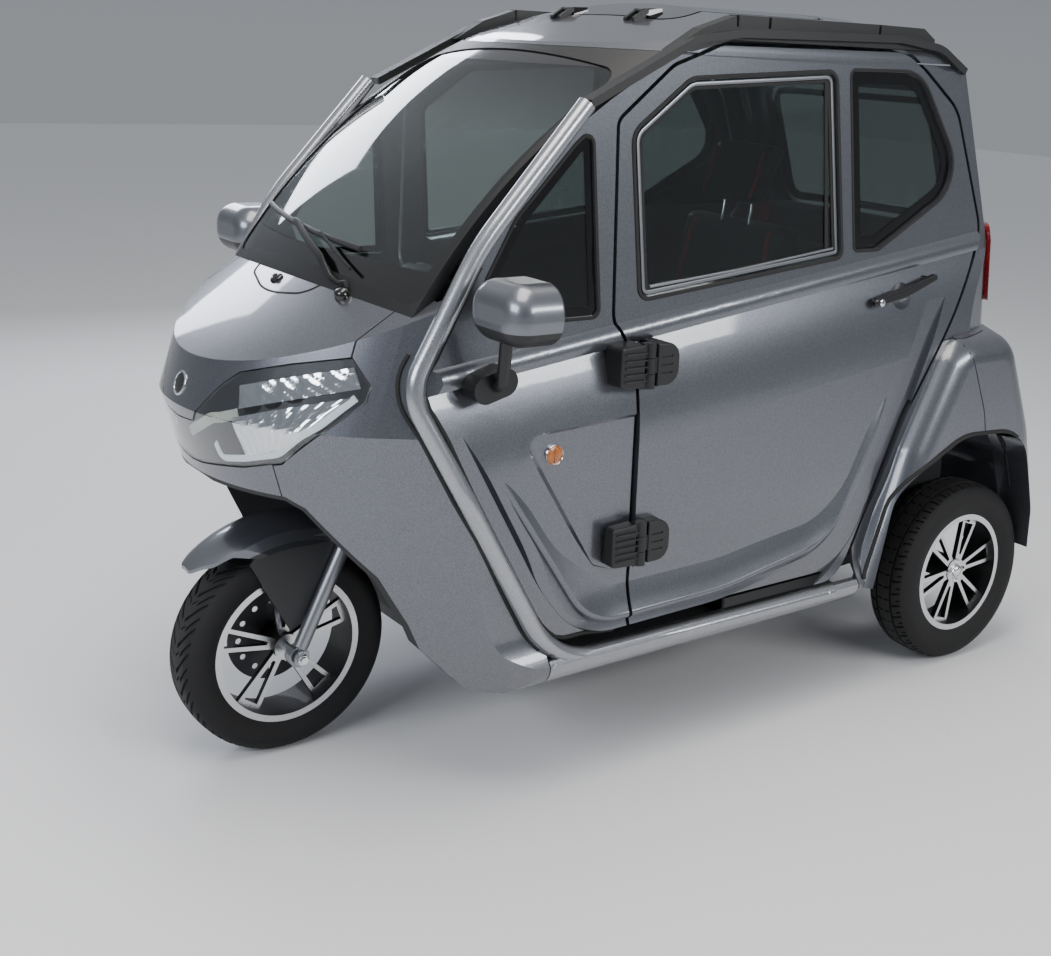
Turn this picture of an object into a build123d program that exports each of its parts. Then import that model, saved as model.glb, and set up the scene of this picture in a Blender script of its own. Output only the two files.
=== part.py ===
"""Three wheeled cabin car: one steered front wheel, two rear wheels, two front-hinged doors.

Millimetres. X points to the vehicle's left, Y to its rear, Z up.
The origin is on the ground, in the middle of the bounding box.
"""
from math import cos, hypot, radians, sin, sqrt
import os

from build123d import *

# Wheels and wheelbase
front_axle_y = -897.0
rear_axle_y = 847.0
front_tyre_r = 243.0
front_tyre_width = 130.0
front_rim_r = 179.0
rear_tyre_r = 247.0
rear_tyre_width = 135.0
rear_rim_r = 169.5
rear_track = 960.0
tyre_shoulder = 30.0
rim_wall = 7.0

# Body form: walls and the lines that its panels follow
wall = 24.0
panel_gap = 3.0
door_gap = 9.0
glass_t = 5.0
pane_setback = 6.0
body_bottom = 250.0
body_reach = 1400.0
sill_half = 545.0
waist_half = 508.0
side_half = 520.0
belt_half = 482.0
roll_half = 491.0
glasshouse_half = 479.0
roof_edge_half = 458.0
belt_y = -292.0
belt_z = 980.0
belt_rise = 0.13
roll_h = 50.0
roof_edge_z = 1600.0
roof_side_drop = 580.0
roof_round_half = 400.0
roof_round_z = 1672.0
roof_top = 1716.0

# Nose, hood and windscreen along the centre line, as (y, z)
nose_lip = (-1089.0, 680.0)
nose_tip = (-1133.0, 830.0)
hood_front = (-1101.0, 936.0)
cowl = (-865.0, 1083.0)
screen_top = (-293.0, 1612.0)
roof_front_end = (60.0, 1716.0)
roof_rear_start = (560.0, 1716.0)
rear_top = (790.0, 1650.0)
rear_belt = (958.0, 1150.0)
rear_foot = (978.0, 860.0)
screen_radius = 1750.0
screen_bulge = 53.0
screen_overrun = 90.0
hood_radius = 1900.0
roof_front_radius = 3200.0
roof_rear_radius = 1750.0
rear_flat_half = 390.0
lean_reach = 3200.0
lean_half = 700.0

# Smaller sizes
flange_h = 14.0
seat_step = 19.0
spoke_t = 14.0
spoke_root = 12.0
spoke_end = 30.0
spoke_bar = 12.0
front_axle_r = 10.0
rear_axle_r = 14.0
fork_length = 420.0
clamp_t = 24.0
clamp_half = 40.0
column_length = 430.0
bar_half = 330.0
bar_r = 12.0
head_low = 505.0
head_high = 650.0
head_r = 34.0
rail_half = 330.0
tub_half = 438.0
mirror_x = 625.0
mirror_y = 704.0
mirror_z = 1102.0
mirror_w = 188.0
mirror_h = 122.0
mirror_d = 112.0

# Nose seen from the front (x, z), left half: edge of the hood, lower edge of the lens, wheel well
hood_edge = [(0.0, 803.0), (69.0, 808.0), (144.0, 895.0), (184.0, 929.0), (286.0, 961.0), (378.0, 984.0)]
lens_edge = [
    (414.0, 930.0), (414.0, 899.0), (369.0, 836.0), (284.0, 756.0), (197.0, 733.0), (50.0, 709.0), (0.0, 706.0),
]
well_front = [
    (0.0, 676.0), (262.0, 676.0), (300.0, 655.0), (334.0, 600.0), (385.0, 515.0), (408.0, 411.0),
    (430.0, 200.0), (0.0, 200.0),
]
well_side = [
    (-1300.0, 200.0), (-1300.0, 672.0), (-900.0, 672.0), (-640.0, 672.0), (-604.0, 560.0), (-600.0, 200.0),
]
chin_half = 264.0
chin_edge = [(chin_half, 750.0), (chin_half, 600.0), (0.0, 600.0)]
lens_t = 4.0
lamp_gap = 3.0
lamp_depth = 52.0
# Reflector pockets in the lamp housing: place (x, z), depth in y and radius
lamp_pockets = [
    (228.0, 868.0, -1026.0, 19.0),
    (266.0, 885.0, -1004.0, 19.0),
    (303.0, 902.0, -969.0, 19.0),
    (340.0, 918.0, -934.0, 17.0),
    (372.0, 932.0, -900.0, 14.0),
    (238.0, 792.0, -1020.0, 33.0),
    (300.0, 815.0, -986.0, 31.0),
]
# Low ridges (x, y, z) that the nose panels are creased along: ends and middle, and the bar inside them
panel_crease = [(276.0, -994.0, 722.0), (384.0, -906.0, 790.0), (476.0, -800.0, 850.0)]
hood_crease = [(200.0, -1010.0, 982.0), (179.0, -942.0, 1030.0), (150.0, -870.0, 1074.0)]
crease_r = 30.0

# Rear end
rear_panel_half = 385.0
rear_panel_low = 868.0
rear_glass_half = 320.0
rear_glass_low = 1166.0
rear_glass_high = 1530.0
lamp_proud = 14.0
tail_lamp_corners = [(905.0, 985.0, 25.0), (890.0, 1195.0, 25.0), (1200.0, 1195.0, 10.0), (1200.0, 985.0, 10.0)]
bumper_line = [(978.0, 862.0), (1045.0, 690.0), (1118.0, 520.0), (1128.0, 330.0)]
bumper_bend = 150.0
bumper_t = 22.0
plate_spacing = 160.0
plate_z = 610.0
plate_hole_r = 3.5

# Rear fender flare, seen from the side (y, z, bend), and the wheel arch
flare_corners = [
    (385.0, 180.0, 60.0),
    (545.0, 640.0, 240.0),
    (700.0, 935.0, 130.0),
    (960.0, 935.0, 130.0),
    (1080.0, 650.0, 300.0),
    (1141.0, 400.0, 160.0),
    (1141.0, 180.0, 60.0),
]
flare_root = 455.0
flare_half = 580.0
flare_taper = 16.0
flare_round = 70.0
arch_corners = [
    (425.0, 150.0, 20.0),
    (548.0, 560.0, 190.0),
    (755.0, 655.0, 190.0),
    (1010.0, 640.0, 150.0),
    (1092.0, 400.0, 220.0),
    (1092.0, 150.0, 20.0),
]

# Roof hatch
hatch_half = 265.0
hatch_front = -60.0
hatch_rear = 470.0
hatch_corner = 60.0
hatch_hinge_x = 150.0
hatch_axis_y = -56.0
hatch_axis_z = 1692.0

# Silver side moulding: corner points (x, y, z) of its centre line and the bend at each
moulding_r = 20.0
moulding_points = [
    (472.0, -440.0, 1490.0),
    (474.0, -692.0, 1203.0),
    (480.0, -848.0, 925.0),
    (522.0, -734.0, 700.0),
    (521.0, -506.0, 292.0),
    (530.0, 345.0, 292.0),
]
moulding_bends = [600.0, 105.0, 300.0, 210.0]

# Door outline (y, z) and the bend at each corner, from the lower front corner round to the rear
door_corners = [
    (-293.0, 321.0, 12.0),
    (-293.0, 935.0, 60.0),
    (-345.0, 1035.0, 60.0),
    (-345.0, 1455.0, 30.0),
    (-200.0, 1572.0, 80.0),
    (-60.0, 1622.0, 60.0),
    (545.0, 1628.0, 130.0),
    (735.0, 1490.0, 120.0),
    (862.0, 1165.0, 110.0),
    (575.0, 720.0, 300.0),
    (395.0, 321.0, 130.0),
]
window_front_corners = [
    (-275.0, 1075.0, 22.0),
    (-305.0, 1430.0, 45.0),
    (-150.0, 1545.0, 60.0),
    (290.0, 1572.0, 26.0),
    (338.0, 1138.0, 14.0),
]
window_rear_corners = [
    (388.0, 1150.0, 12.0),
    (345.0, 1578.0, 12.0),
    (590.0, 1580.0, 110.0),
    (776.0, 1312.0, 100.0),
    (470.0, 1150.0, 30.0),
]
quarter_window_corners = [
    (-392.0, 1046.0, 14.0),
    (-418.0, 1435.0, 14.0),
    (-455.0, 1405.0, 60.0),
    (-600.0, 1255.0, 120.0),
    (-672.0, 1130.0, 30.0),
    (-640.0, 1046.0, 30.0),
]
# Ridge pressed into the door and the front side panel (x, y, z), which sinks into the skin at both ends
ridge_points = [
    (-48.0, -752.0, 920.0),
    (0.0, -600.0, 645.0),
    (0.0, -412.0, 362.0),
    (0.0, -20.0, 368.0),
    (0.0, 330.0, 425.0),
    (0.0, 470.0, 700.0),
    (-60.0, 605.0, 1010.0),
]
ridge_bends = [400.0, 160.0, 700.0, 170.0, 500.0]
set_back_points = [
    (-752.0, 920.0),
    (-508.0, 480.0),
    (-412.0, 362.0),
    (-20.0, 368.0),
    (330.0, 425.0),
    (470.0, 700.0),
    (655.0, 1135.0),
]
set_back_bends = [500.0, 160.0, 700.0, 170.0, 700.0]
ridge_half = 526.0
facet_corners = [(-588.0, 806.0, 20.0), (-250.0, 822.0, 8.0), (-250.0, 440.0, 8.0), (-398.0, 497.0, 24.0)]
facet_floor = 509.0
facet_slope = 50.0

# Dish behind the door handle
dish_place = (537.0, 545.0, 1038.0)
dish_r = 52.0

handle_corners = [
    (430.0, 1008.0, 9.0), (545.0, 1026.0, 120.0), (655.0, 1064.0, 6.5), (655.0, 1082.0, 6.5),
    (545.0, 1054.0, 120.0), (430.0, 1030.0, 9.0),
]
handle_half = 524.0
handle_t = 15.0
handle_posts = [(454.0, 1022.0), (632.0, 1066.0)]

# Roof rails (y, z) and the rain gutter
rail_outer = 460.0
rail_blocks = [
    [(-215.0, 1606.0), (-128.0, 1657.0), (-32.0, 1688.0), (-30.0, 1664.0), (-30.0, 1638.0), (-150.0, 1606.0)],
    [(-34.0, 1635.0), (-34.0, 1664.0), (634.0, 1664.0), (634.0, 1635.0)],
    [(-24.0, 1640.0), (-24.0, 1690.0), (66.0, 1690.0), (66.0, 1640.0)],
    [(74.0, 1640.0), (74.0, 1690.0), (429.0, 1690.0), (429.0, 1640.0)],
    [(437.0, 1640.0), (437.0, 1690.0), (592.0, 1688.0), (632.0, 1664.0), (632.0, 1640.0)],
]
gutter_line = [
    (-428.0, 1491.0), (-150.0, 1632.0), (-20.0, 1650.0), (500.0, 1659.0), (650.0, 1642.0), (748.0, 1588.0),
]
gutter_bend = 120.0
gutter_width = 18.0
gutter_outer = 476.0

# Wiper, in the windscreen's own plane (x, up)
wiper_rise = 14.0
wiper_pivot = (217.0, 20.0)
wiper_arm = [(205.0, 8.0), (52.0, 262.0), (66.0, 272.0), (232.0, 28.0)]
wiper_blade = [(-238.0, 372.0), (-228.0, 384.0), (176.0, 196.0), (170.0, 180.0)]

# Door hinge
hinge_axis_x = 541.0
hinge_axis_y = -293.0
hinge_pin_r = 4.0
hinge_fit = 0.05
hinge_barrel_r = 13.0
hinge_heights = (940.0, 538.0)
hinge_knuckle = 34.0

# Steering
rake = 25.5
axis_offset = 30.0
fork_half = 92.0
fork_tube_r = 17.0
fender_r = 310.0
fender_half = 84.0
fender_t = 5.0
fender_side = [
    (-1200.0, 452.0), (-1060.0, 452.0), (-900.0, 492.0), (-800.0, 492.0), (-740.0, 440.0), (-640.0, 440.0),
    (-640.0, 700.0), (-1200.0, 700.0),
]
fender_plan = [(86.0, -600.0, 10.0), (86.0, -950.0, 120.0), (58.0, -1075.0, 50.0), (24.0, -1116.0, 20.0)]
cover_side = [
    (-1000.0, 468.0), (-970.0, 500.0), (-800.0, 515.0), (-758.0, 470.0), (-850.0, 345.0), (-905.0, 296.0),
    (-932.0, 345.0),
]
cover_x = 72.0
disc_r = 106.0
disc_t = 4.0
column_r = 22.0
well_wall = 9.0

os.makedirs("parts", exist_ok=True)


def save(builder, name):
    """Label a finished piece and write it as its own STEP file."""
    builder.part.label = name
    export_step(builder.part, f"parts/{name}.step")


def outline(corners):
    """Draw a closed outline through corners (a, b, bend radius) in the current line builder."""
    points = [(a, b) for a, b, bend in corners]
    bends = [bend for a, b, bend in corners]
    return FilletPolyline(*points, radius=bends, close=True)


def direction(start, end):
    """Unit direction in the middle plane, from one (y, z) point to another."""
    dy, dz = end[0] - start[0], end[1] - start[1]
    length = hypot(dy, dz)
    return (0.0, dy / length, dz / length)


def leaning_solid(start, end, profile, upright):
    """Long solid of a constant profile that leans from start towards end, both (y, z).

    The profile is drawn in a level plane when upright is true, and otherwise in a cross plane.
    Its own zero is the leaning line.
    """
    heading = direction(start, end)
    origin = (0, start[0] - heading[1] * lean_reach, start[1] - heading[2] * lean_reach)
    plane = Plane(origin=origin, x_dir=(1, 0, 0), z_dir=(0, 0, 1) if upright else (0, -1, 0))
    with BuildPart() as solid:
        with BuildSketch(plane):
            with BuildLine():
                profile()
            make_face()
        extrude(amount=2 * lean_reach, dir=heading)
    return solid.part


def crown(start, end, radius, inset):
    """Everything under a crowned plane through start and end, moved inward by inset."""
    drop = inset / abs(direction(start, end)[1])
    fall = radius - sqrt(radius ** 2 - lean_half ** 2)

    def profile():
        ThreePointArc((-lean_half, -fall - drop), (0, -drop), (lean_half, -fall - drop))
        Polyline((lean_half, -fall - drop), (lean_half, -3000), (-lean_half, -3000), (-lean_half, -fall - drop))

    return leaning_solid(start, end, profile, upright=False)


def screen_block(inset):
    """Everything behind the windscreen, a barrel curved both up and across."""
    (foot_y, foot_z), (head_y, head_z) = cowl, screen_top
    along = direction(cowl, screen_top)
    chord = hypot(head_y - foot_y, head_z - foot_z)
    out = (-along[2], along[1])
    middle = ((foot_y + head_y) / 2, (foot_z + head_z) / 2)
    arc_r = chord ** 2 / (8 * screen_bulge) + screen_bulge / 2
    reach = chord / 2 + screen_overrun
    foot = screen_bulge - arc_r + sqrt(arc_r ** 2 - reach ** 2)
    drop = body_reach * reach / sqrt(arc_r ** 2 - reach ** 2)

    def place(run, rise):
        """Point run along the chord from its middle and rise above it, less the inset."""
        rise = rise - inset
        return (middle[0] + run * along[1] + rise * out[0], middle[1] + run * along[2] + rise * out[1])

    with BuildPart() as block:
        with BuildSketch(Plane.YZ):
            with BuildLine():
                ThreePointArc(place(-reach, foot), place(0, screen_bulge), place(reach, foot))
                Polyline(
                    place(reach, foot),
                    place(reach + body_reach, foot - drop),
                    place(reach + body_reach, inset - screen_radius),
                    place(-reach - body_reach, inset - screen_radius),
                    place(-reach - body_reach, foot - drop),
                    place(-reach, foot),
                )
            make_face()
        axis_y, axis_z = place(0, inset - screen_radius)
        revolve(axis=Axis((0, axis_y, axis_z), along))
    return block.part


def rear_wall(start, end, inset):
    """Everything in front of the leaning rear wall, whose plan turns round both rear corners."""
    shift = -inset / abs(direction(start, end)[2])
    half = rear_flat_half - inset * 0.4

    def profile():
        ThreePointArc((-half, shift - 18), (0, shift), (half, shift - 18))
        for hand in (-1, 1):
            ThreePointArc(
                (hand * half, shift - 18), (hand * (half + 62), shift - 42), (hand * (half + 105), shift - 95)
            )
            Polyline(
                (hand * (half + 105), shift - 95), (hand * lean_half, shift - 700), (hand * lean_half, -5000)
            )
        Line((-lean_half, -5000), (lean_half, -5000))

    return leaning_solid(start, end, profile, upright=True)


def nose_wall(start, end, inset):
    """Everything behind the nose's curved front, leaning from start to end."""
    shift = inset / abs(direction(start, end)[2])

    def profile():
        ThreePointArc((-215, shift + 48), (0, shift), (215, shift + 48))
        for hand in (-1, 1):
            ThreePointArc(
                (hand * 215, shift + 48),
                (hand * (335 - inset * 0.3), shift + 125),
                (hand * (435 - inset * 0.6), shift + 232),
            )
            Polyline(
                (hand * (435 - inset * 0.6), shift + 232),
                (hand * (520 - inset * 0.8), shift + 360),
                (hand * (565 - inset), shift + 480),
                (hand * lean_half, shift + 900),
                (hand * lean_half, shift + 5000),
            )
        Line((-lean_half, shift + 5000), (lean_half, shift + 5000))

    return leaning_solid(start, end, profile, upright=True)


def lower_section(inset):
    """Half outline across the sill and the skirt, straight up above the skirt, moved inward by inset."""
    low = body_bottom + inset
    Line((0, low), (470 - inset, low))
    ThreePointArc((470 - inset, low), (528 - inset, low + 13), (sill_half - inset, low + 48))
    ThreePointArc((sill_half - inset, low + 48), (518 - inset, low + 92), (waist_half - inset, 400))
    Line((waist_half - inset, 400), (waist_half - inset, 440))
    ThreePointArc((waist_half - inset, 440), (waist_half + 1.5 - inset, 480), (waist_half + 6 - inset, 520))
    ThreePointArc((waist_half + 6 - inset, 520), (side_half - 1.5 - inset, 560), (side_half - inset, 600))
    Line((side_half - inset, 600), (side_half - inset, 3000))
    Line((side_half - inset, 3000), (0, 3000))
    Line((0, 3000), (0, low))


def upper_block(inset, rolled):
    """Everything inside the skin above the skirt, the belt and the glasshouse, which rise to the rear."""
    heading = direction((0, 0), (1, belt_rise))
    edge, top, far = side_half - inset, belt_half - inset, 2000.0
    lean = (glasshouse_half - roof_edge_half) / (roof_edge_z - belt_z - roll_h)
    origin = (0, belt_y - heading[1] * lean_reach, belt_z - heading[2] * lean_reach)
    with BuildPart() as block:
        with BuildSketch(Plane(origin=origin, x_dir=(1, 0, 0), z_dir=(0, -1, 0))):
            with BuildLine():
                for hand in (-1, 1):
                    Polyline(
                        (0, -far), (hand * lean_half, -far), (hand * lean_half, -320), (hand * edge, -320),
                        (hand * edge, -220),
                    )
                    ThreePointArc((hand * edge, -220), (hand * (510.5 - inset), -110), (hand * top, 0))
                    if rolled:
                        Line((hand * top, 0), (hand * (roll_half - inset), 3))
                        ThreePointArc(
                            (hand * (roll_half - inset), 3), (hand * (roll_half + 3 - inset), 25),
                            (hand * (glasshouse_half - inset), roll_h),
                        )
                    else:
                        Line((hand * top, 0), (hand * (glasshouse_half - inset), roll_h))
                    Line(
                        (hand * (glasshouse_half - inset), roll_h),
                        (hand * (glasshouse_half - inset - lean * (far - roll_h)), far),
                    )
                    Line((hand * (glasshouse_half - inset - lean * (far - roll_h)), far), (0, far))
            make_face()
        extrude(amount=2 * lean_reach, dir=heading)
    return block.part


def roof_section(inset):
    """Half outline across the roof and its rounded edge, moved inward by inset."""
    Line((0, -500), (lean_half, -500))
    Line((lean_half, -500), (lean_half, roof_edge_z - roof_side_drop))
    Line((lean_half, roof_edge_z - roof_side_drop), (roof_edge_half - inset, roof_edge_z - inset))
    ThreePointArc(
        (roof_edge_half - inset, roof_edge_z - inset),
        (443 - inset * 0.85, 1645 - inset),
        (roof_round_half - inset * 0.5, roof_round_z - inset),
    )
    ThreePointArc(
        (roof_round_half - inset * 0.5, roof_round_z - inset), (205, 1705 - inset), (0, roof_top - inset)
    )
    Line((0, roof_top - inset), (0, -500))


def envelope(inset, rolled=False):
    """Closed outer form of the body, every face moved inward by inset; rolled adds the belt roll."""
    hood = crown(hood_front, cowl, hood_radius, inset)
    screen = screen_block(inset)
    with BuildPart() as roof_form:
        with BuildSketch(Plane.XZ):
            with BuildLine():
                roof_section(inset)
            make_face()
            mirror(about=Plane.YZ)
        extrude(amount=body_reach, both=True)
    with BuildPart() as form:
        with BuildSketch(Plane.XZ):
            with BuildLine():
                lower_section(inset)
            make_face()
            mirror(about=Plane.YZ)
        extrude(amount=body_reach, both=True)
        add(upper_block(inset, rolled), mode=Mode.INTERSECT)
        add(roof_form.part, mode=Mode.INTERSECT)
        add(hood + screen, mode=Mode.INTERSECT)
        add(crown(screen_top, roof_front_end, roof_front_radius, inset), mode=Mode.INTERSECT)
        add(crown(rear_top, roof_rear_start, roof_rear_radius, inset), mode=Mode.INTERSECT)
        for start, end in ((rear_top, rear_belt), (rear_foot, rear_belt)):
            add(rear_wall(start, end, inset), mode=Mode.INTERSECT)
        for start, end in ((nose_lip, nose_tip), (nose_tip, hood_front)):
            add(nose_wall(start, end, inset), mode=Mode.INTERSECT)
        # Slanted underside behind the front wheel
        with BuildSketch(Plane.YZ):
            with BuildLine():
                Polyline(
                    (-2000, nose_lip[1] + inset),
                    (nose_lip[0] + inset * 0.5, nose_lip[1] + inset),
                    (-690 + inset, 262 + inset),
                    (-640 + inset, body_bottom + inset),
                    (2000, body_bottom + inset),
                    (2000, 3000),
                    (-2000, 3000),
                    (-2000, nose_lip[1] + inset),
                )
            make_face()
        extrude(amount=body_reach, both=True, mode=Mode.INTERSECT)
    return form.part


outer = envelope(0.0)
rolled_outer = envelope(0.0, rolled=True)
inner = envelope(wall)
shell = outer - inner
side_shell = rolled_outer - inner
hood_block = crown(hood_front, cowl, hood_radius, 0.0)


def side_block(corners, start=0.0, end=700.0, grow=0.0, taper=0.0):
    """Solid of a rounded side view outline (y, z, bend), from x = start to x = end."""
    with BuildPart() as block:
        with BuildSketch(Plane.YZ.offset(start)):
            with BuildLine():
                outline(corners)
            make_face()
            if grow:
                offset(amount=grow, mode=Mode.REPLACE)
        extrude(amount=end - start, taper=taper)
    return block.part


def polygon_block(points, start=0.0, end=700.0):
    """Solid of a straight sided side view outline (y, z), from x = start to x = end."""
    with BuildPart() as block:
        with BuildSketch(Plane.YZ.offset(start)):
            with BuildLine():
                Polyline(*points, points[0])
            make_face()
        extrude(amount=end - start)
    return block.part


def level_block(points, low, high):
    """Solid of a straight sided plan outline (x, y), from z = low to z = high."""
    with BuildPart() as block:
        with BuildSketch(Plane.XY.offset(low)):
            with BuildLine():
                Polyline(*points, points[0])
            make_face()
        extrude(amount=high - low)
    return block.part


def box(x0, x1, y0, y1, z0, z1):
    """Plain block between two corners."""
    return level_block([(x0, y0), (x1, y0), (x1, y1), (x0, y1)], z0, z1)


def front_block(points, grow=0.0, front=-1300.0, rear=-560.0):
    """Solid of a symmetrical front view outline; points (x, z) are its left half, from the middle round."""
    with BuildPart() as block:
        with BuildSketch(Plane.XZ.offset(-rear)):
            with BuildLine():
                Polyline(*points, *[(-x, z) for x, z in reversed(points) if x], points[0])
            make_face()
            if grow:
                offset(amount=grow, kind=Kind.INTERSECTION, mode=Mode.REPLACE)
        extrude(amount=rear - front)
    return block.part


def save_pair(builder, name):
    """Write a left piece, and its mirror image as the right one."""
    save(builder, f"{name}_left")
    with BuildPart() as right:
        mirror(builder.part, about=Plane.YZ)
    save(right, f"{name}_right")


def save_both(builder, name):
    """Write a left piece and its mirror image as one node of two solids."""
    with BuildPart() as both:
        add(builder.part)
        mirror(builder.part, about=Plane.YZ)
    save(both, name)


def both_sides(solid):
    """A left solid together with its mirror image."""
    return solid + mirror(solid, about=Plane.YZ)


# Silver side moulding, one bent tube each side
with BuildPart() as moulding:
    with BuildLine() as moulding_path:
        FilletPolyline(*moulding_points, radius=moulding_bends)
    with BuildSketch(moulding_path.line ^ 0):
        Circle(moulding_r)
    sweep()


def behind_moulding(shift):
    """Solid of what lies behind the moulding line on the left, the line moved rearward by shift."""
    side = [(y + shift, z) for x, y, z in moulding_points]
    first, last = side[0], side[-1]
    with BuildPart() as block:
        with BuildSketch(Plane.YZ):
            with BuildLine():
                FilletPolyline(*side, radius=moulding_bends)
                Polyline(last, (1500, last[1]), (1500, 2500), (first[0], 2500), first)
            make_face()
        extrude(amount=700)
    return block.part


# Pressed ridge of the side: its crest, the soft hollow inside it and the cut that sets back its outside
def along_side(points, bends, profile):
    """Sweep a closed profile (x, distance outside the line) along a bent line in the side view."""
    start = Vector(*points[0])
    heading = Vector(*points[1]) - start
    with BuildPart() as strip:
        with BuildLine() as line:
            FilletPolyline(*points, radius=bends)
        with BuildSketch(Plane(origin=start, x_dir=(1, 0, 0), z_dir=heading)):
            with BuildLine():
                profile()
            make_face()
        sweep(path=line.line)
    return strip.part


def ridge_profile():
    Polyline((506, 36), (486, 36), (486, -108), (506, -108))
    ThreePointArc((506, -108), (511, -56), (ridge_half, -7))
    ThreePointArc((ridge_half, -7), (ridge_half + 1.5, 0), (ridge_half - 2, 7))
    ThreePointArc((ridge_half - 2, 7), (512, 18), (506, 36))


def set_back_profile():
    Polyline((507, 32), (540, 14), (540, 96), (507, 96), (507, 32))


with BuildPart() as ridge_strip:
    add(along_side(ridge_points, ridge_bends, ridge_profile))
    add(inner, mode=Mode.SUBTRACT)
ridge = ridge_strip.part
set_back = along_side([(0, y, z) for y, z in set_back_points], set_back_bends, set_back_profile)

# Lines that part the body's panels, seen from the side (y, z)
sill_top = 309.0
sill_front = -523.0
sill_rear = 430.0
roof_split = 1604.0
pillar_half = 432.0
side_front = [
    (-1000, sill_top + 2), (-150, sill_top + 2), (-150, roof_split - panel_gap),
    (-1000, roof_split - panel_gap),
]
pillar_side = [(-400, 1300), (-100, 1300), (-100, roof_split), (-400, roof_split)]
screen_side = [(-1200, 900), (-100, 900), (-100, roof_split - 1), (-1200, roof_split - 1)]
roof_side = [(-1300, roof_split), (1300, roof_split), (1300, 2000), (-1300, 2000)]
front_side = [
    (-1300, 200), (sill_front - panel_gap, 200), (sill_front - panel_gap, 1100), (-1300, 1100),
]
sill_side = [(sill_front, 200), (sill_rear, 200), (sill_rear, sill_top), (sill_front, sill_top)]
quarter_side = [
    (sill_rear + panel_gap, 200), (1300, 200), (1300, roof_split - panel_gap), (600, roof_split - panel_gap),
    (sill_rear + panel_gap, 1000),
]
door_shape = side_block(door_corners)
door_hole = side_block(door_corners, grow=door_gap)

# Side panel with the quarter window and the recess round the reflector, between moulding and door
with BuildPart() as side_panel:
    add(side_shell)
    add(ridge)
    add(behind_moulding(panel_gap / 2), mode=Mode.INTERSECT)
    add(door_hole, mode=Mode.SUBTRACT)
    add(polygon_block(side_front, pillar_half), mode=Mode.INTERSECT)
    add(side_block(quarter_window_corners), mode=Mode.SUBTRACT)
    add(side_block(facet_corners, facet_floor, facet_floor + 30, taper=-facet_slope), mode=Mode.SUBTRACT)
    add(set_back, mode=Mode.SUBTRACT)
    add(moulding.part, mode=Mode.SUBTRACT)
save_pair(side_panel, "side_panel")

# Door: the wall inside the door outline, with its two windows cut and a dish behind the handle
with BuildPart() as door:
    add(side_shell)
    add(ridge)
    add(door_shape, mode=Mode.INTERSECT)
    add(set_back, mode=Mode.SUBTRACT)
    add(side_block(window_front_corners), mode=Mode.SUBTRACT)
    add(side_block(window_rear_corners), mode=Mode.SUBTRACT)
    add(polygon_block(pillar_side, 0, pillar_half), mode=Mode.SUBTRACT)
    with Locations(dish_place):
        Sphere(dish_r, mode=Mode.SUBTRACT)
save_pair(door, "door")


def pane(corners):
    """Flat pane that fills a side window, set back from the leaning glasshouse side."""
    lean = (glasshouse_half - roof_edge_half) / (roof_edge_z - belt_z - roll_h)
    low, high = 900.0, 1700.0
    foot = glasshouse_half - lean * (low - belt_z - roll_h) - pane_setback
    head = glasshouse_half - lean * (high - belt_z - roll_h) - pane_setback
    with BuildPart() as sheet:
        add(side_block(corners))
        with BuildSketch(Plane.XZ):
            with BuildLine():
                Polyline((foot, low), (head, high), (head - glass_t, high), (foot - glass_t, low), (foot, low))
            make_face()
        extrude(amount=body_reach, both=True, mode=Mode.INTERSECT)
    return sheet.part


with BuildPart() as door_glass:
    add(pane(window_front_corners))
    add(pane(window_rear_corners))
save_pair(door_glass, "door_glass")

with BuildPart() as quarter_glass:
    add(pane(quarter_window_corners))
save_both(quarter_glass, "quarter_glass")

# Roof, with the hatch opening
with BuildPart() as roof:
    add(shell)
    add(polygon_block(roof_side, -700, 700), mode=Mode.INTERSECT)
    add(both_sides(door_hole), mode=Mode.SUBTRACT)
    with BuildSketch(Plane.XY.offset(1500)):
        with Locations((0, (hatch_front + hatch_rear) / 2)):
            RectangleRounded(2 * hatch_half, hatch_rear - hatch_front, hatch_corner)
    extrude(amount=400, mode=Mode.SUBTRACT)
save(roof, "roof_panel")

# Roof hatch: a lid of the roof's own curve in its opening, on two hinges at its front edge
with BuildPart() as hatch:
    add(shell)
    with BuildSketch(Plane.XY.offset(1500)):
        with Locations((0, (hatch_front + hatch_rear) / 2)):
            RectangleRounded(
                2 * hatch_half - 2 * door_gap, hatch_rear - hatch_front - 2 * door_gap, hatch_corner
            )
    extrude(amount=400, mode=Mode.INTERSECT)
    for x in (-hatch_hinge_x, hatch_hinge_x):
        with BuildSketch(Plane.YZ.offset(x - 10)):
            with Locations((hatch_axis_y, hatch_axis_z)):
                Circle(7)
            with BuildLine():
                Polyline(
                    (hatch_axis_y, hatch_axis_z - 7), (hatch_axis_y + 26, hatch_axis_z - 9),
                    (hatch_axis_y + 56, hatch_axis_z - 2), (hatch_axis_y + 56, hatch_axis_z + 9),
                    (hatch_axis_y, hatch_axis_z + 7), (hatch_axis_y, hatch_axis_z - 7),
                )
            make_face()
            with Locations((hatch_axis_y, hatch_axis_z)):
                Circle(3 + hinge_fit, mode=Mode.SUBTRACT)
        extrude(amount=20)
save(hatch, "roof_hatch")

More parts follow.
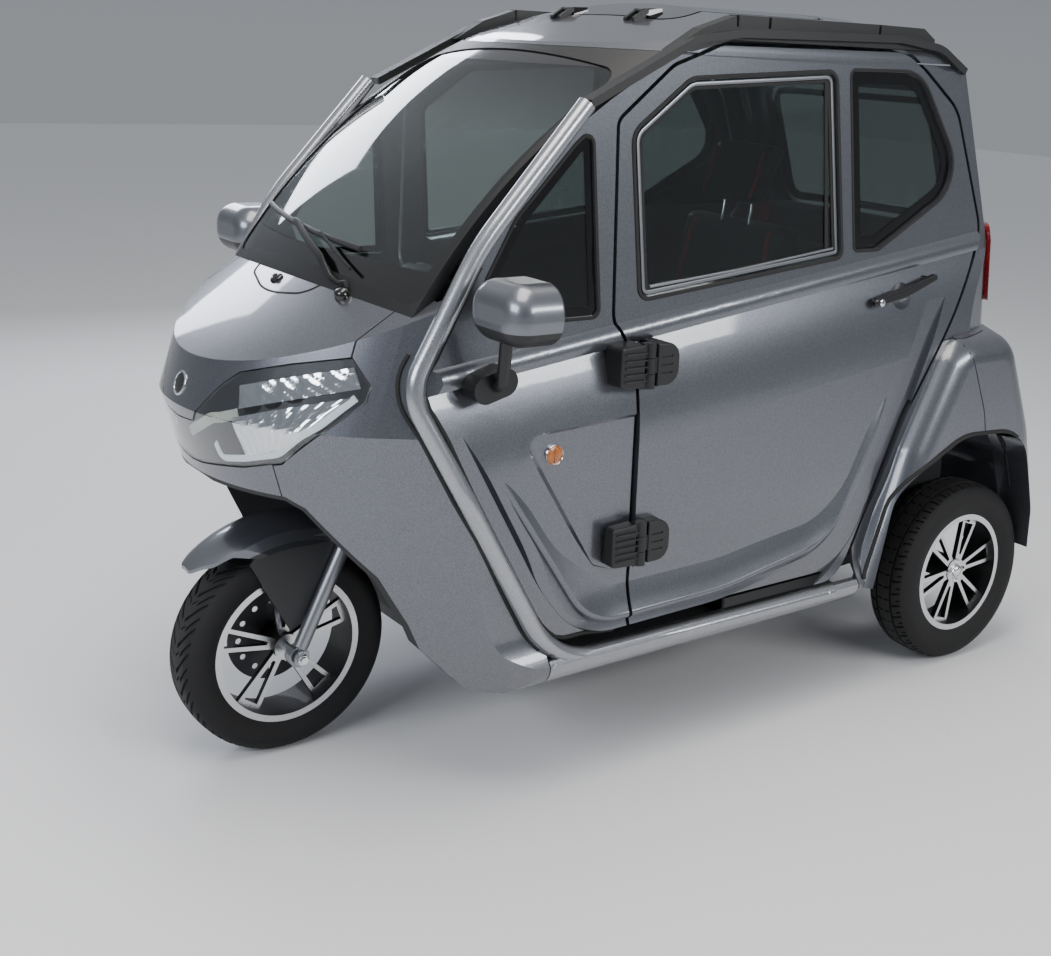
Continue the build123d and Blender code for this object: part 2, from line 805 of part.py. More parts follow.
with BuildPart() as hatch_hinges:
    for x in (-hatch_hinge_x, hatch_hinge_x):
        for side in (-1, 1):
            with BuildSketch(Plane.YZ.offset(x + side * 16 - 5)):
                with Locations((hatch_axis_y, hatch_axis_z)):
                    Circle(7)
                with BuildLine():
                    Polyline(
                        (hatch_axis_y, hatch_axis_z + 7), (hatch_axis_y - 36, hatch_axis_z - 16),
                        (hatch_axis_y - 36, hatch_axis_z - 37), (hatch_axis_y - 8, hatch_axis_z - 32),
                        (hatch_axis_y, hatch_axis_z - 7), (hatch_axis_y, hatch_axis_z + 7),
                    )
                make_face()
            extrude(amount=10)
        with BuildSketch(Plane.YZ.offset(x - 21)):
            with Locations((hatch_axis_y, hatch_axis_z)):
                Circle(3)
        extrude(amount=42)
    add(roof.part, mode=Mode.SUBTRACT)
save(hatch_hinges, "hatch_hinges")

# Windscreen and its black frame
screen_heading = direction(cowl, screen_top)
screen_plane = Plane(
    origin=(0, cowl[0], cowl[1]), x_dir=(1, 0, 0), z_dir=(0, -screen_heading[2], screen_heading[1])
)
screen_length = hypot(screen_top[0] - cowl[0], screen_top[1] - cowl[1])
with BuildPart() as screen_hole:
    with BuildSketch(screen_plane.offset(-300)):
        with BuildLine():
            outline([
                (-430, 40, 40),
                (430, 40, 40),
                (405, screen_length - 42, 60),
                (-405, screen_length - 42, 60),
            ])
        make_face()
    extrude(amount=600)
with BuildPart() as screen_frame:
    add(shell)
    add(hood_block, mode=Mode.SUBTRACT)
    add(polygon_block(screen_side, 1 - pillar_half, pillar_half - 1), mode=Mode.INTERSECT)
    add(screen_hole.part, mode=Mode.SUBTRACT)
    add(both_sides(door_hole), mode=Mode.SUBTRACT)
save(screen_frame, "windscreen_frame")
with BuildPart() as windscreen:
    add(screen_block(3.0))
    add(screen_block(3.0 + glass_t), mode=Mode.SUBTRACT)
    add(screen_hole.part, mode=Mode.INTERSECT)
save(windscreen, "windscreen")

# Nose: hood, the lens that joins both headlamps, its housing, the chin and the two front side panels
moulding_cut = both_sides(behind_moulding(-panel_gap / 2))
moulding_pair = both_sides(moulding.part)
well = front_block(well_front) & polygon_block(well_side, -700, 700)
well_shell = front_block(well_front, grow=well_wall) & polygon_block(
    [(-1300, 190), (-1300, 681), (-900, 681), (-634, 681), (-595, 562), (-591, 190)], -700, 700
)
hood_front_view = [*hood_edge, (hood_edge[-1][0], 1500.0), (0.0, 1500.0)]
lens_front_view = [*hood_edge, *lens_edge]
hood_view_block = front_block(hood_front_view)
lens_block = front_block(lens_front_view)


def ridge_bar(points, inward, height):
    """Round bar along an arc of three points, sunk inward so that a low ridge of it stands out."""
    sink = Vector(*inward).normalized() * (crease_r - height)
    low, middle, high = [Vector(*point) + sink for point in points]
    with BuildPart() as bar:
        with BuildLine() as path:
            ThreePointArc(low, middle, high)
        with BuildSketch(path.line ^ 0):
            Circle(crease_r)
        sweep()
    return bar.part


with BuildPart() as cowl_panel:
    add(shell)
    add(both_sides(ridge_bar(hood_crease, (-0.1, 0.5, -0.86), 3.0)))
    add(inner, mode=Mode.SUBTRACT)
    add(hood_block, mode=Mode.INTERSECT)
    add(hood_view_block, mode=Mode.INTERSECT)
    add(moulding_cut, mode=Mode.SUBTRACT)
    add(moulding_pair, mode=Mode.SUBTRACT)
    add(screen_hole.part, mode=Mode.SUBTRACT)
save(cowl_panel, "nose_cowl")

with BuildPart() as front_band:
    add(outer)
    add(envelope(lens_t), mode=Mode.SUBTRACT)
    add(lens_block, mode=Mode.INTERSECT)
    add(hood_block, mode=Mode.INTERSECT)
    add(front_block(hood_front_view, grow=panel_gap), mode=Mode.SUBTRACT)
save(front_band, "front_band")

with BuildPart() as headlamps:
    add(envelope(lens_t + lamp_gap))
    add(envelope(lamp_depth), mode=Mode.SUBTRACT)
    add(front_block(lens_front_view, grow=-panel_gap), mode=Mode.INTERSECT)
    add(front_block(hood_front_view, grow=panel_gap), mode=Mode.SUBTRACT)
    for x, z, depth_y, pocket_r in lamp_pockets:
        with BuildSketch(Plane.XZ.offset(-depth_y)):
            with Locations((x, z), (-x, z)):
                Circle(pocket_r)
        extrude(amount=300, mode=Mode.SUBTRACT)
save(headlamps, "headlamps")

with BuildPart() as leg_shield_block:
    add(well_shell)
    add(well, mode=Mode.SUBTRACT)
    add(outer, mode=Mode.INTERSECT)

chin_view = [(x, z - panel_gap) for x, z in reversed(lens_edge[3:])]
with BuildPart() as nose_lip_panel:
    add(shell)
    add(front_block([*chin_view[:-1], *chin_edge]), mode=Mode.INTERSECT)
    add(well_shell, mode=Mode.SUBTRACT)
    add(headlamps.part, mode=Mode.SUBTRACT)
save(nose_lip_panel, "nose_lip")

with BuildPart() as front_panel:
    add(shell)
    add(ridge_bar(panel_crease, (-0.62, 0.62, -0.48), 6.0))
    add(polygon_block(front_side, chin_half + panel_gap, 700), mode=Mode.INTERSECT)
    add(hood_block, mode=Mode.INTERSECT)
    add(front_block(hood_front_view, grow=panel_gap), mode=Mode.SUBTRACT)
    add(front_block(lens_front_view, grow=panel_gap), mode=Mode.SUBTRACT)
    add(well_shell, mode=Mode.SUBTRACT)
    add(moulding_cut, mode=Mode.SUBTRACT)
    add(moulding.part, mode=Mode.SUBTRACT)
    add(inner, mode=Mode.SUBTRACT)
    add(headlamps.part, mode=Mode.SUBTRACT)
save_pair(front_panel, "front_panel")

# Sill and moulding are one silver piece each side
with BuildPart() as sill:
    add(shell)
    add(polygon_block(sill_side, 440, 700), mode=Mode.INTERSECT)
    add(moulding.part)
save_both(sill, "side_mouldings")

# Rear quarter with its flared fender and the wheel arch
with BuildPart() as flare:
    with BuildSketch(Plane.YZ.offset(flare_root)):
        with BuildLine():
            outline(flare_corners)
        make_face()
    extrude(amount=flare_half - flare_root, taper=flare_taper)
    fillet(flare.faces().sort_by(Axis.X)[-1].edges(), flare_round)
arch = side_block(arch_corners, rear_track / 2 - rear_tyre_width / 2 - 30, 700)
with BuildPart() as rear_quarter:
    add(shell)
    add(flare.part)
    add(polygon_block(quarter_side, rear_panel_half + panel_gap, 700), mode=Mode.INTERSECT)
    add(door_hole, mode=Mode.SUBTRACT)
    add(arch, mode=Mode.SUBTRACT)
    add(box(0, 700, 400, 1300, 0, 285), mode=Mode.SUBTRACT)
    add(inner, mode=Mode.SUBTRACT)
    add(side_block(tail_lamp_corners, rear_panel_half, 560), mode=Mode.SUBTRACT)
save_pair(rear_quarter, "rear_quarter")

with BuildPart() as rear_hole:
    with BuildSketch(Plane.XZ.offset(-700)):
        with Locations((0, (rear_glass_low + rear_glass_high) / 2)):
            RectangleRounded(2 * rear_glass_half, rear_glass_high - rear_glass_low, 60)
    extrude(amount=-600)
with BuildPart() as rear_panel:
    add(shell)
    add(
        box(-rear_panel_half, rear_panel_half, 600, 1300, rear_panel_low, roof_split - panel_gap),
        mode=Mode.INTERSECT,
    )
    add(rear_hole.part, mode=Mode.SUBTRACT)
save(rear_panel, "rear_panel")
with BuildPart() as rear_glass:
    add(rear_wall(rear_top, rear_belt, 4.0))
    add(rear_wall(rear_top, rear_belt, 4.0 + glass_t), mode=Mode.SUBTRACT)
    add(rear_hole.part, mode=Mode.INTERSECT)
save(rear_glass, "rear_glass")

# Tail lamp stands proud of the rear corner
with BuildPart() as tail_lamp:
    add(envelope(-lamp_proud))
    add(side_block(tail_lamp_corners, rear_panel_half + panel_gap, 560), mode=Mode.INTERSECT)
    add(inner, mode=Mode.SUBTRACT)
    add(door_hole, mode=Mode.SUBTRACT)
save_both(tail_lamp, "tail_lamps")

with BuildPart() as bumper:
    with BuildSketch(Plane.YZ):
        with BuildLine():
            FilletPolyline(*bumper_line, radius=bumper_bend)
        trace(line_width=bumper_t)
    extrude(amount=flare_root - panel_gap, both=True)
    with BuildSketch(Plane.XZ.offset(-bumper_line[-1][0] - 100)):
        with Locations((-plate_spacing / 2, plate_z), (plate_spacing / 2, plate_z)):
            Circle(plate_hole_r)
    extrude(amount=300, mode=Mode.SUBTRACT)
save(bumper, "rear_bumper")


def tyre(centre, radius, width, bead_r):
    """Tyre as one closed ring round an axle along X."""
    half = width / 2
    seat_half = half - seat_step
    foot = (half - 9, bead_r + 1)
    edge = (half - tyre_shoulder * 0.5, radius - 9)
    with BuildPart() as ring:
        with BuildSketch(Plane(origin=centre, x_dir=(1, 0, 0), z_dir=(0, 0, 1))):
            with BuildLine():
                Polyline((0, bead_r - flange_h), (seat_half, bead_r - flange_h), (seat_half, bead_r + 1), foot)
                ThreePointArc(foot, (half, (bead_r + radius) / 2), edge)
                ThreePointArc(edge, (half * 0.45, radius - 1.5), (0, radius))
                Line((0, radius), (0, bead_r - flange_h))
            make_face()
            mirror(about=Plane.YZ)
        revolve(axis=Axis(centre, (1, 0, 0)))
    return ring


def alloy_rim(centre, width, bead_r, side, spokes, face_x, hub_r, bore_r, hub_span, turn):
    """Rim with a barrel, two flanges, a hub and slotted spokes; side is 1 when its face is at +X."""
    seat_half = width / 2 - seat_step
    drop_r = bead_r - flange_h
    reach = drop_r - rim_wall + 1
    level = Plane(origin=centre, x_dir=(1, 0, 0), z_dir=(0, 0, 1))
    with BuildPart() as rim:
        with BuildSketch(level):
            with BuildLine():
                Polyline(
                    (0, drop_r), (seat_half, drop_r), (seat_half, bead_r), (seat_half + 6, bead_r),
                    (seat_half + 6, drop_r - rim_wall), (0, drop_r - rim_wall), (0, drop_r),
                )
            make_face()
            mirror(about=Plane.YZ)
        revolve(axis=Axis(centre, (1, 0, 0)))
        with BuildSketch(Plane.YZ.offset(centre[0] + side * face_x)):
            with Locations((centre[1], centre[2])):
                Circle(hub_r)
                with PolarLocations(0, spokes, start_angle=turn):
                    Polygon(
                        (hub_r - 8, -spoke_root), (reach, -spoke_end), (reach, spoke_end),
                        (hub_r - 8, spoke_root), align=None,
                    )
                with PolarLocations(0, spokes, start_angle=turn):
                    Polygon(
                        (hub_r + 12, -4), (reach - 15, spoke_bar - spoke_end),
                        (reach - 15, spoke_end - spoke_bar), (hub_r + 12, 4), align=None, mode=Mode.SUBTRACT,
                    )
        extrude(amount=-side * spoke_t)
        with BuildSketch(Plane.YZ.offset(centre[0] + hub_span[0])):
            with Locations((centre[1], centre[2])):
                Circle(hub_r)
        extrude(amount=hub_span[1] - hub_span[0])
        with BuildSketch(Plane.YZ.offset(centre[0] - 200)):
            with Locations((centre[1], centre[2])):
                Circle(bore_r)
        extrude(amount=400, mode=Mode.SUBTRACT)
    return rim


front_centre = (0.0, front_axle_y, front_tyre_r)
save(tyre(front_centre, front_tyre_r, front_tyre_width, front_rim_r), "front_tyre")
front_rim = alloy_rim(
    front_centre, front_tyre_width, front_rim_r, 1, 5, 26, 30, front_axle_r + hinge_fit, (-46, 42), 20
)
with BuildPart() as front_rim_and_disc:
    add(front_rim.part)
    with BuildSketch(Plane.YZ.offset(-46)):
        with Locations((front_axle_y, front_tyre_r)):
            Circle(disc_r)
            Circle(27, mode=Mode.SUBTRACT)
            with PolarLocations(80, 12):
                Circle(7, mode=Mode.SUBTRACT)
    extrude(amount=disc_t)
save(front_rim_and_disc, "front_rim")
for side, label in ((1, "left"), (-1, "right")):
    centre = (side * rear_track / 2, rear_axle_y, rear_tyre_r)
    save(tyre(centre, rear_tyre_r, rear_tyre_width, rear_rim_r), f"rear_tyre_{label}")
    span = (-50, 40) if side == 1 else (-40, 50)
    save(
        alloy_rim(centre, rear_tyre_width, rear_rim_r, side, 6, 38, 34, rear_axle_r + hinge_fit, span, 12),
        f"rear_rim_{label}",
    )

# Steering: everything is placed on the raked steering axis, Z up the axis, -Y to the front
axis_dir = (0.0, sin(radians(rake)), cos(radians(rake)))
axis_foot = (
    0.0, front_axle_y + axis_offset * cos(radians(rake)), front_tyre_r - axis_offset * sin(radians(rake))
)
steer_plane = Plane(origin=axis_foot, x_dir=(1, 0, 0), z_dir=axis_dir)
with BuildPart() as fork:
    with BuildSketch(steer_plane):
        with Locations((-fork_half, -axis_offset), (fork_half, -axis_offset)):
            Circle(fork_tube_r)
    extrude(amount=fork_length)
    with BuildSketch(steer_plane.offset(fork_length - clamp_t)):
        with Locations((0, -axis_offset / 2)):
            RectangleRounded(2 * (fork_half + fork_tube_r + 6), 2 * clamp_half, 18)
    extrude(amount=clamp_t)
    with BuildSketch(Plane.YZ.offset(-fork_half - 22)):
        with Locations((front_axle_y, front_tyre_r)):
            Circle(front_axle_r)
    extrude(amount=2 * fork_half + 44)
    for start, amount in ((fork_half - 12, 26), (12 - fork_half, -26)):
        with BuildSketch(Plane.YZ.offset(start)):
            with Locations((front_axle_y, front_tyre_r)):
                Circle(24)
        extrude(amount=amount)
save(fork, "fork")

# Front fender: a creased crown, cut to its side and plan outlines, and a cover plate each side
shoulder = fender_half - 12
inner_shoulder = shoulder - fender_t
inner_half = fender_half - fender_t
hem_r = fender_r - 60
edge_r = fender_r - 24
inner_edge_r = fender_r - 28
with BuildPart() as fender:
    with BuildSketch(Plane(origin=front_centre, x_dir=(1, 0, 0), z_dir=(0, 0, 1))):
        with BuildLine():
            Polyline((fender_half, hem_r), (shoulder, edge_r))
            ThreePointArc((shoulder, edge_r), (0, fender_r), (-shoulder, edge_r))
            Polyline(
                (-shoulder, edge_r), (-fender_half, hem_r), (-inner_half, hem_r), (-inner_shoulder, inner_edge_r)
            )
            ThreePointArc(
                (-inner_shoulder, inner_edge_r), (0, fender_r - fender_t), (inner_shoulder, inner_edge_r)
            )
            Polyline((inner_shoulder, inner_edge_r), (inner_half, hem_r), (fender_half, hem_r))
        make_face()
    revolve(axis=Axis(front_centre, (1, 0, 0)), revolution_arc=360)
    add(polygon_block(fender_side, -300, 300), mode=Mode.INTERSECT)
    with BuildSketch(Plane.XY):
        with BuildLine():
            outline([*fender_plan, *[(-x, y, bend) for x, y, bend in reversed(fender_plan)]])
        make_face()
    extrude(amount=900, mode=Mode.INTERSECT)
    for x in (cover_x, -cover_x - fender_t):
        add(polygon_block(cover_side, x, x + fender_t))
    add(fork.part, mode=Mode.SUBTRACT)
save(fender, "front_fender")

with BuildPart() as handlebar:
    with BuildSketch(steer_plane.offset(fork_length)):
        Circle(column_r)
    extrude(amount=column_length)
    bar_top = steer_plane.offset(fork_length + column_length)
    bends = [
        (-bar_half, 60, 40), (-190, 20, 40), (-60, 0, -6), (60, 0, -6), (190, 20, 40), (bar_half, 60, 40),
    ]
    with BuildLine() as bar_line:
        FilletPolyline(*[bar_top.from_local_coords(Vector(*bend)) for bend in bends], radius=40)
    with BuildSketch(bar_line.line ^ 0):
        Circle(bar_r)
    sweep()
save(handlebar, "handlebar")

# Leg shield with the hole that the steering column turns in
with BuildPart() as leg_shield:
    add(leg_shield_block.part)
    with BuildSketch(steer_plane.offset(fork_length - 60)):
        Circle(column_r + 12)
    extrude(amount=300, mode=Mode.SUBTRACT)
save(leg_shield, "leg_shield")

# Chassis: rails that kick up over the axle, cross members, trailing arms, steering head
with BuildPart() as chassis:
    rail = [(-570, 200), (520, 200), (640, 430), (950, 430), (950, 480), (610, 480), (490, 250), (-570, 250)]
    for x in (-rail_half - 20, rail_half - 20):
        add(polygon_block(rail, x, x + 40))
    for y, z in ((-570, 200), (-60, 200), (450, 200), (900, 430)):
        add(box(-rail_half, rail_half, y, y + 40, z, z + 50))
    arm = [
        (470, 205), (500, 205), (rear_axle_y - 20, rear_tyre_r - 25),
        (rear_axle_y - 20, rear_tyre_r + 25), (470, 250),
    ]
    for x in (-270, 258):
        add(polygon_block(arm, x, x + 12))
    for x in (-225, 225):
        with BuildSketch(Plane.XY.offset(rear_tyre_r + 40)):
            with Locations((x, rear_axle_y + 75)):
                Circle(24)
        extrude(amount=150)
        add(box(x - 20, x + 20, rear_axle_y + 26, rear_axle_y + 95, rear_tyre_r + 34, rear_tyre_r + 50))
    add(polygon_block(
        [(-570, 230), (-530, 230), (-530, 690), (-600, 740), (-640, 740), (-640, 715), (-570, 660)], -30, 30
    ))
    with BuildSketch(steer_plane.offset(head_low)):
        Circle(head_r)
    extrude(amount=head_high - head_low)
    with BuildSketch(steer_plane.offset(head_low - 100)):
        Circle(column_r + hinge_fit)
    extrude(amount=400, mode=Mode.SUBTRACT)
with BuildPart() as rear_axle:
    for radius, low, length in (
        (rear_axle_r, -rear_track / 2 - 46, rear_track + 92), (32, -390, 780), (95, -10, 190)
    ):
        with BuildSketch(Plane.YZ.offset(low)):
            with Locations((rear_axle_y, rear_tyre_r)):
                Circle(radius)
        extrude(amount=length)
    fillet(rear_axle.edges().filter_by(GeomType.CIRCLE).filter_by(lambda e: e.radius > 90), 14)
with BuildPart() as chassis_frame:
    add(chassis.part)
    add(rear_axle.part, mode=Mode.SUBTRACT)
save(chassis_frame, "chassis_frame")
save(rear_axle, "rear_axle")

# Floor tub: floor, seat riser, deck over the axle and the wheelhouse walls
with BuildPart() as tub:
    add(polygon_block(
        [
            (-520, 250), (68, 250), (68, 470), (430, 470), (430, 640), (915, 640), (915, 648),
            (422, 648), (422, 478), (60, 478), (60, 258), (-520, 258),
        ],
        -tub_half, tub_half,
    ))
    add(box(-242, 242, -588, -520, 250, 258))
    add(box(-380, 380, 915, 1030, 640, 648))
    for x in (-384, 378):
        add(polygon_block([(430, 300), (915, 300), (915, 640), (430, 640)], x, x + 6))
    add(chassis.part, mode=Mode.SUBTRACT)
    add(both_sides(arch), mode=Mode.SUBTRACT)
save(tub, "floor_pan")

with BuildPart() as battery:
    add(box(-290, 290, 80, 410, 250, 462))
save(battery, "battery_pack")

with BuildPart() as dashboard:
    with BuildSketch(Plane.YZ):
        with BuildLine():
            outline([(-900, 850, 40), (-730, 850, 30), (-700, 940, 30), (-735, 1035, 40), (-900, 1060, 10)])
        make_face()
    extrude(amount=400, both=True)
    add(inner, mode=Mode.INTERSECT)
    add(headlamps.part, mode=Mode.SUBTRACT)
save(dashboard, "dashboard")


def cushion(points, half, round_by):
    """Padded block with a rounded side outline."""
    with BuildPart() as pad:
        with BuildSketch(Plane.YZ):
            with BuildLine():
                outline(points)
            make_face()
        extrude(amount=half, both=True)
        ends = pad.faces().sort_by(Axis.X)
        fillet(ends[0].edges() + ends[-1].edges(), round_by)
    return pad.part


with BuildPart() as driver_seat:
    add(cushion([(-20, 560, 40), (408, 545, 40), (414, 650, 30), (-40, 680, 45)], 230, 18))
    add(cushion([(400, 600, 30), (500, 1180, 45), (410, 1190, 40), (310, 640, 30)], 215, 18))
    add(cushion([(428, 1200, 24), (515, 1375, 30), (430, 1385, 30), (365, 1205, 24)], 120, 12))
    add(box(-150, 150, 60, 380, 478, 575))
    for x in (-60, 48):
        add(box(x, x + 12, 412, 424, 1110, 1240))
save(driver_seat, "driver_seat")
with BuildPart() as rear_seat:
    add(cushion([(540, 648, 20), (880, 648, 20), (880, 760, 40), (530, 770, 40)], 330, 18))
    add(cushion([(800, 720, 20), (895, 720, 20), (860, 1090, 30), (790, 1090, 30)], 330, 18))
save(rear_seat, "rear_seat")

# Roof rails: a front fairing and three blocks along each roof edge, with the rain gutter below them
with BuildPart() as rail_strip:
    for block in rail_blocks:
        add(polygon_block(block, 425, rail_outer))
    add(outer, mode=Mode.SUBTRACT)
with BuildPart() as gutter:
    with BuildSketch(Plane.YZ.offset(440)):
        with BuildLine():
            FilletPolyline(*gutter_line, radius=gutter_bend)
        trace(line_width=gutter_width)
    extrude(amount=gutter_outer - 440)
    add(outer, mode=Mode.SUBTRACT)
    add(rail_strip.part, mode=Mode.SUBTRACT)
    add(moulding.part, mode=Mode.SUBTRACT)
with BuildPart() as rails:
    add(rail_strip.part)
    add(gutter.part)
save_both(rails, "roof_rails")

with BuildPart() as mirror_left:
    with BuildSketch(Plane.XZ.offset(mirror_y - mirror_d / 2)):
        with Locations((mirror_x, mirror_z)):
            RectangleRounded(mirror_w, mirror_h, 56)
    extrude(amount=mirror_d)
    caps = mirror_left.faces().sort_by(Axis.Y)
    fillet(caps[0].edges(), 46)
    fillet(mirror_left.faces().sort_by(Axis.Y)[-1].edges(), 8)
    with BuildLine() as arm_line:
        FilletPolyline((500, -680, 930), (562, -684, 940), (604, -702, 1090), radius=26)
    with BuildSketch(arm_line.line ^ 0):
        Circle(13)
    sweep()
    with BuildSketch(Plane.YZ.offset(470)):
        with Locations((-684, 935)):
            SlotOverall(104, 58, rotation=15)
    extrude(amount=72)
    add(rolled_outer, mode=Mode.SUBTRACT)
    add(side_panel.part, mode=Mode.SUBTRACT)
save_both(mirror_left, "mirrors")

with BuildPart() as wiper:
    with BuildSketch(screen_plane.offset(wiper_rise)):
        with BuildLine():
            Polyline(*wiper_arm, wiper_arm[0])
        make_face()
        with BuildLine():
            Polyline(*wiper_blade, wiper_blade[0])
        make_face()
    extrude(amount=8)
    with BuildSketch(screen_plane.offset(-20)):
        with Locations(wiper_pivot):
            Circle(15)
    extrude(amount=20 + wiper_rise + 8)
    add(outer, mode=Mode.SUBTRACT)
save(wiper, "wiper")

# Hinges: a bracket with two knuckles and the pin on the side panel, a leaf with one on the door
with BuildPart() as brackets:
    for height in hinge_heights:
        with BuildPart() as plate:
            add(side_block(
                [
                    (hinge_axis_y - 82, height - 44, 10), (hinge_axis_y - 17, height - 48, 3),
                    (hinge_axis_y - 17, height + 48, 3), (hinge_axis_y - 82, height + 44, 10),
                ],
                460, hinge_axis_x + 8,
            ))
            fillet(plate.faces().sort_by(Axis.X)[-1].edges(), 4)
        add(plate.part)
        for low in (height - 50, height + hinge_knuckle / 2 + 1):
            with BuildSketch(Plane.XY.offset(low)):
                with Locations((hinge_axis_x, hinge_axis_y)):
                    Circle(hinge_barrel_r)
                with Locations((hinge_axis_x - 2, hinge_axis_y - 13)):
                    Rectangle(14, 16)
            extrude(amount=50 - hinge_knuckle / 2 - 1)
        with BuildSketch(Plane.XY.offset(height - 50)):
            with Locations((hinge_axis_x, hinge_axis_y)):
                Circle(hinge_pin_r)
        extrude(amount=100)
    add(rolled_outer, mode=Mode.SUBTRACT)
    add(side_panel.part, mode=Mode.SUBTRACT)
save_both(brackets, "hinge_brackets")
with BuildPart() as leaves:
    for height in hinge_heights:
        with BuildPart() as leaf:
            add(side_block(
                [
                    (hinge_axis_y + 17, height - 48, 3), (hinge_axis_y + 78, height - 46, 34),
                    (hinge_axis_y + 78, height + 46, 34), (hinge_axis_y + 17, height + 48, 3),
                ],
                460, hinge_axis_x + 8,
            ))
            fillet(leaf.faces().sort_by(Axis.X)[-1].edges(), 4)
            for rib in (-18, 0, 18):
                add(box(
                    hinge_axis_x + 6, hinge_axis_x + 20, hinge_axis_y + 26, hinge_axis_y + 58, height + rib - 2,
                    height + rib + 2,
                ), mode=Mode.SUBTRACT)
        add(leaf.part)
        with BuildSketch(Plane.XY.offset(height - hinge_knuckle / 2)):
            with Locations((hinge_axis_x, hinge_axis_y)):
                Circle(hinge_barrel_r)
            with Locations((hinge_axis_x - 2, hinge_axis_y + 13)):
                Rectangle(14, 16)
            with Locations((hinge_axis_x, hinge_axis_y)):
                Circle(hinge_pin_r + hinge_fit, mode=Mode.SUBTRACT)
        extrude(amount=hinge_knuckle)
    add(rolled_outer, mode=Mode.SUBTRACT)
    add(door.part, mode=Mode.SUBTRACT)
save_pair(leaves, "hinge_leaves")

# Door handle: a bowed grip over the dish on two posts
with BuildPart() as handle:
    add(side_block(handle_corners, handle_half - handle_t, handle_half))
    fillet(handle.faces().sort_by(Axis.X)[-1].edges(), 5)
    for y, z in handle_posts:
        with BuildSketch(Plane.YZ.offset(470)):
            with Locations((y, z)):
                Circle(9)
        extrude(amount=handle_half - handle_t / 2 - 470)
    add(rolled_outer, mode=Mode.SUBTRACT)
    add(door.part, mode=Mode.SUBTRACT)
save_pair(handle, "door_handle")
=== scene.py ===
"""Looks of a small closed three wheeled car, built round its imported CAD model.

Metres. +X is the vehicle's left, -Y its front, +Z up. Every piece's place is in its mesh.
Tables of places and sizes are in millimetres, in the same frame.
"""
import math

import bmesh
import bpy
from mathutils import Matrix, Vector
from mathutils.bvhtree import BVHTree


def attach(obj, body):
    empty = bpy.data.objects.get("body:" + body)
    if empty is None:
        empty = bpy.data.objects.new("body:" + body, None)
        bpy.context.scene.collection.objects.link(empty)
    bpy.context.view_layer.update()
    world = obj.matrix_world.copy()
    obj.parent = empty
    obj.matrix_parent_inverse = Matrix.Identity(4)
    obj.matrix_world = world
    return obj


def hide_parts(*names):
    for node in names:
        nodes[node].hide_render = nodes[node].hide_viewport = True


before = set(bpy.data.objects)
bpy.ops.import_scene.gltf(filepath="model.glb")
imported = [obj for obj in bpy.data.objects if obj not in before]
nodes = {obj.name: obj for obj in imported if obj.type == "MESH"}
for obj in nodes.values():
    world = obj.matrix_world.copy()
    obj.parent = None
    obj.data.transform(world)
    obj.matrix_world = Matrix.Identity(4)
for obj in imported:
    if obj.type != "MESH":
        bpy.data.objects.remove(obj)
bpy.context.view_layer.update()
MM = 0.001

# The photograph's camera
camera_place = (2.876, -2.214, 1.613)
camera_yaw, camera_pitch, camera_roll = 51.64, 11.45, 2.89
camera_lens = 49.28
camera_shift = (-0.0943, -0.1347)


def set_camera():
    yaw, pitch, roll = (math.radians(a) for a in (camera_yaw, camera_pitch, camera_roll))
    back = Vector((math.sin(yaw) * math.cos(pitch), -math.cos(yaw) * math.cos(pitch), math.sin(pitch)))
    right = Vector((math.cos(yaw), math.sin(yaw), 0))
    up = back.cross(right)
    right, up = math.cos(roll) * right + math.sin(roll) * up, math.cos(roll) * up - math.sin(roll) * right
    turn = Matrix((right, up, back)).transposed()
    data = bpy.data.cameras.new("camera")
    data.lens = camera_lens
    data.sensor_width = 36.0
    data.shift_x, data.shift_y = camera_shift
    data.clip_end = 60.0
    camera = bpy.data.objects.new("camera", data)
    camera.location = camera_place
    camera.rotation_euler = turn.to_euler()
    bpy.context.collection.objects.link(camera)
    bpy.context.scene.camera = camera


def add_light(name, place, target, size, power, color="#ffffff"):
    data = bpy.data.lights.new(name, "AREA")
    data.shape = "RECTANGLE"
    data.size, data.size_y = size
    data.energy = power
    data.color = hex_color(color)[:3]
    light = bpy.data.objects.new(name, data)
    light.location = place
    light.rotation_euler = (Vector(target) - Vector(place)).to_track_quat("-Z", "Y").to_euler()
    bpy.context.collection.objects.link(light)


def hex_color(text):
    """sRGB hex to the linear colour that the shaders take."""
    parts = [int(text[i:i + 2], 16) / 255 for i in (1, 3, 5)]
    return (*[p / 12.92 if p <= 0.04045 else ((p + 0.055) / 1.055) ** 2.4 for p in parts], 1.0)


def add_node(tree, kind, settings=None, links=None):
    """Add a node; settings set its properties or sockets, links join its sockets to (node, socket)."""
    node = tree.nodes.new(kind)
    for key, value in (settings or {}).items():
        if isinstance(key, str) and hasattr(node, key) and not key[0].isupper():
            setattr(node, key, value)
        else:
            node.inputs[key].default_value = value
    for key, (source, socket) in (links or {}).items():
        tree.links.new(source.outputs[socket], node.inputs[key])
    return node


def new_material(name, color, **sockets):
    """A material with one Principled shader; sockets are its own constants, _ for a space."""
    material = bpy.data.materials.new(name)
    material.use_nodes = True
    tree = material.node_tree
    shader = tree.nodes["Principled BSDF"]
    shader.inputs["Base Color"].default_value = hex_color(color)
    for key, value in sockets.items():
        shader.inputs[key.replace("_", " ")].default_value = value
    return material, tree, shader


def dress(material, *names):
    for name in names:
        obj = nodes[name]
        obj.data.materials.clear()
        obj.data.materials.append(material)


# Finishes


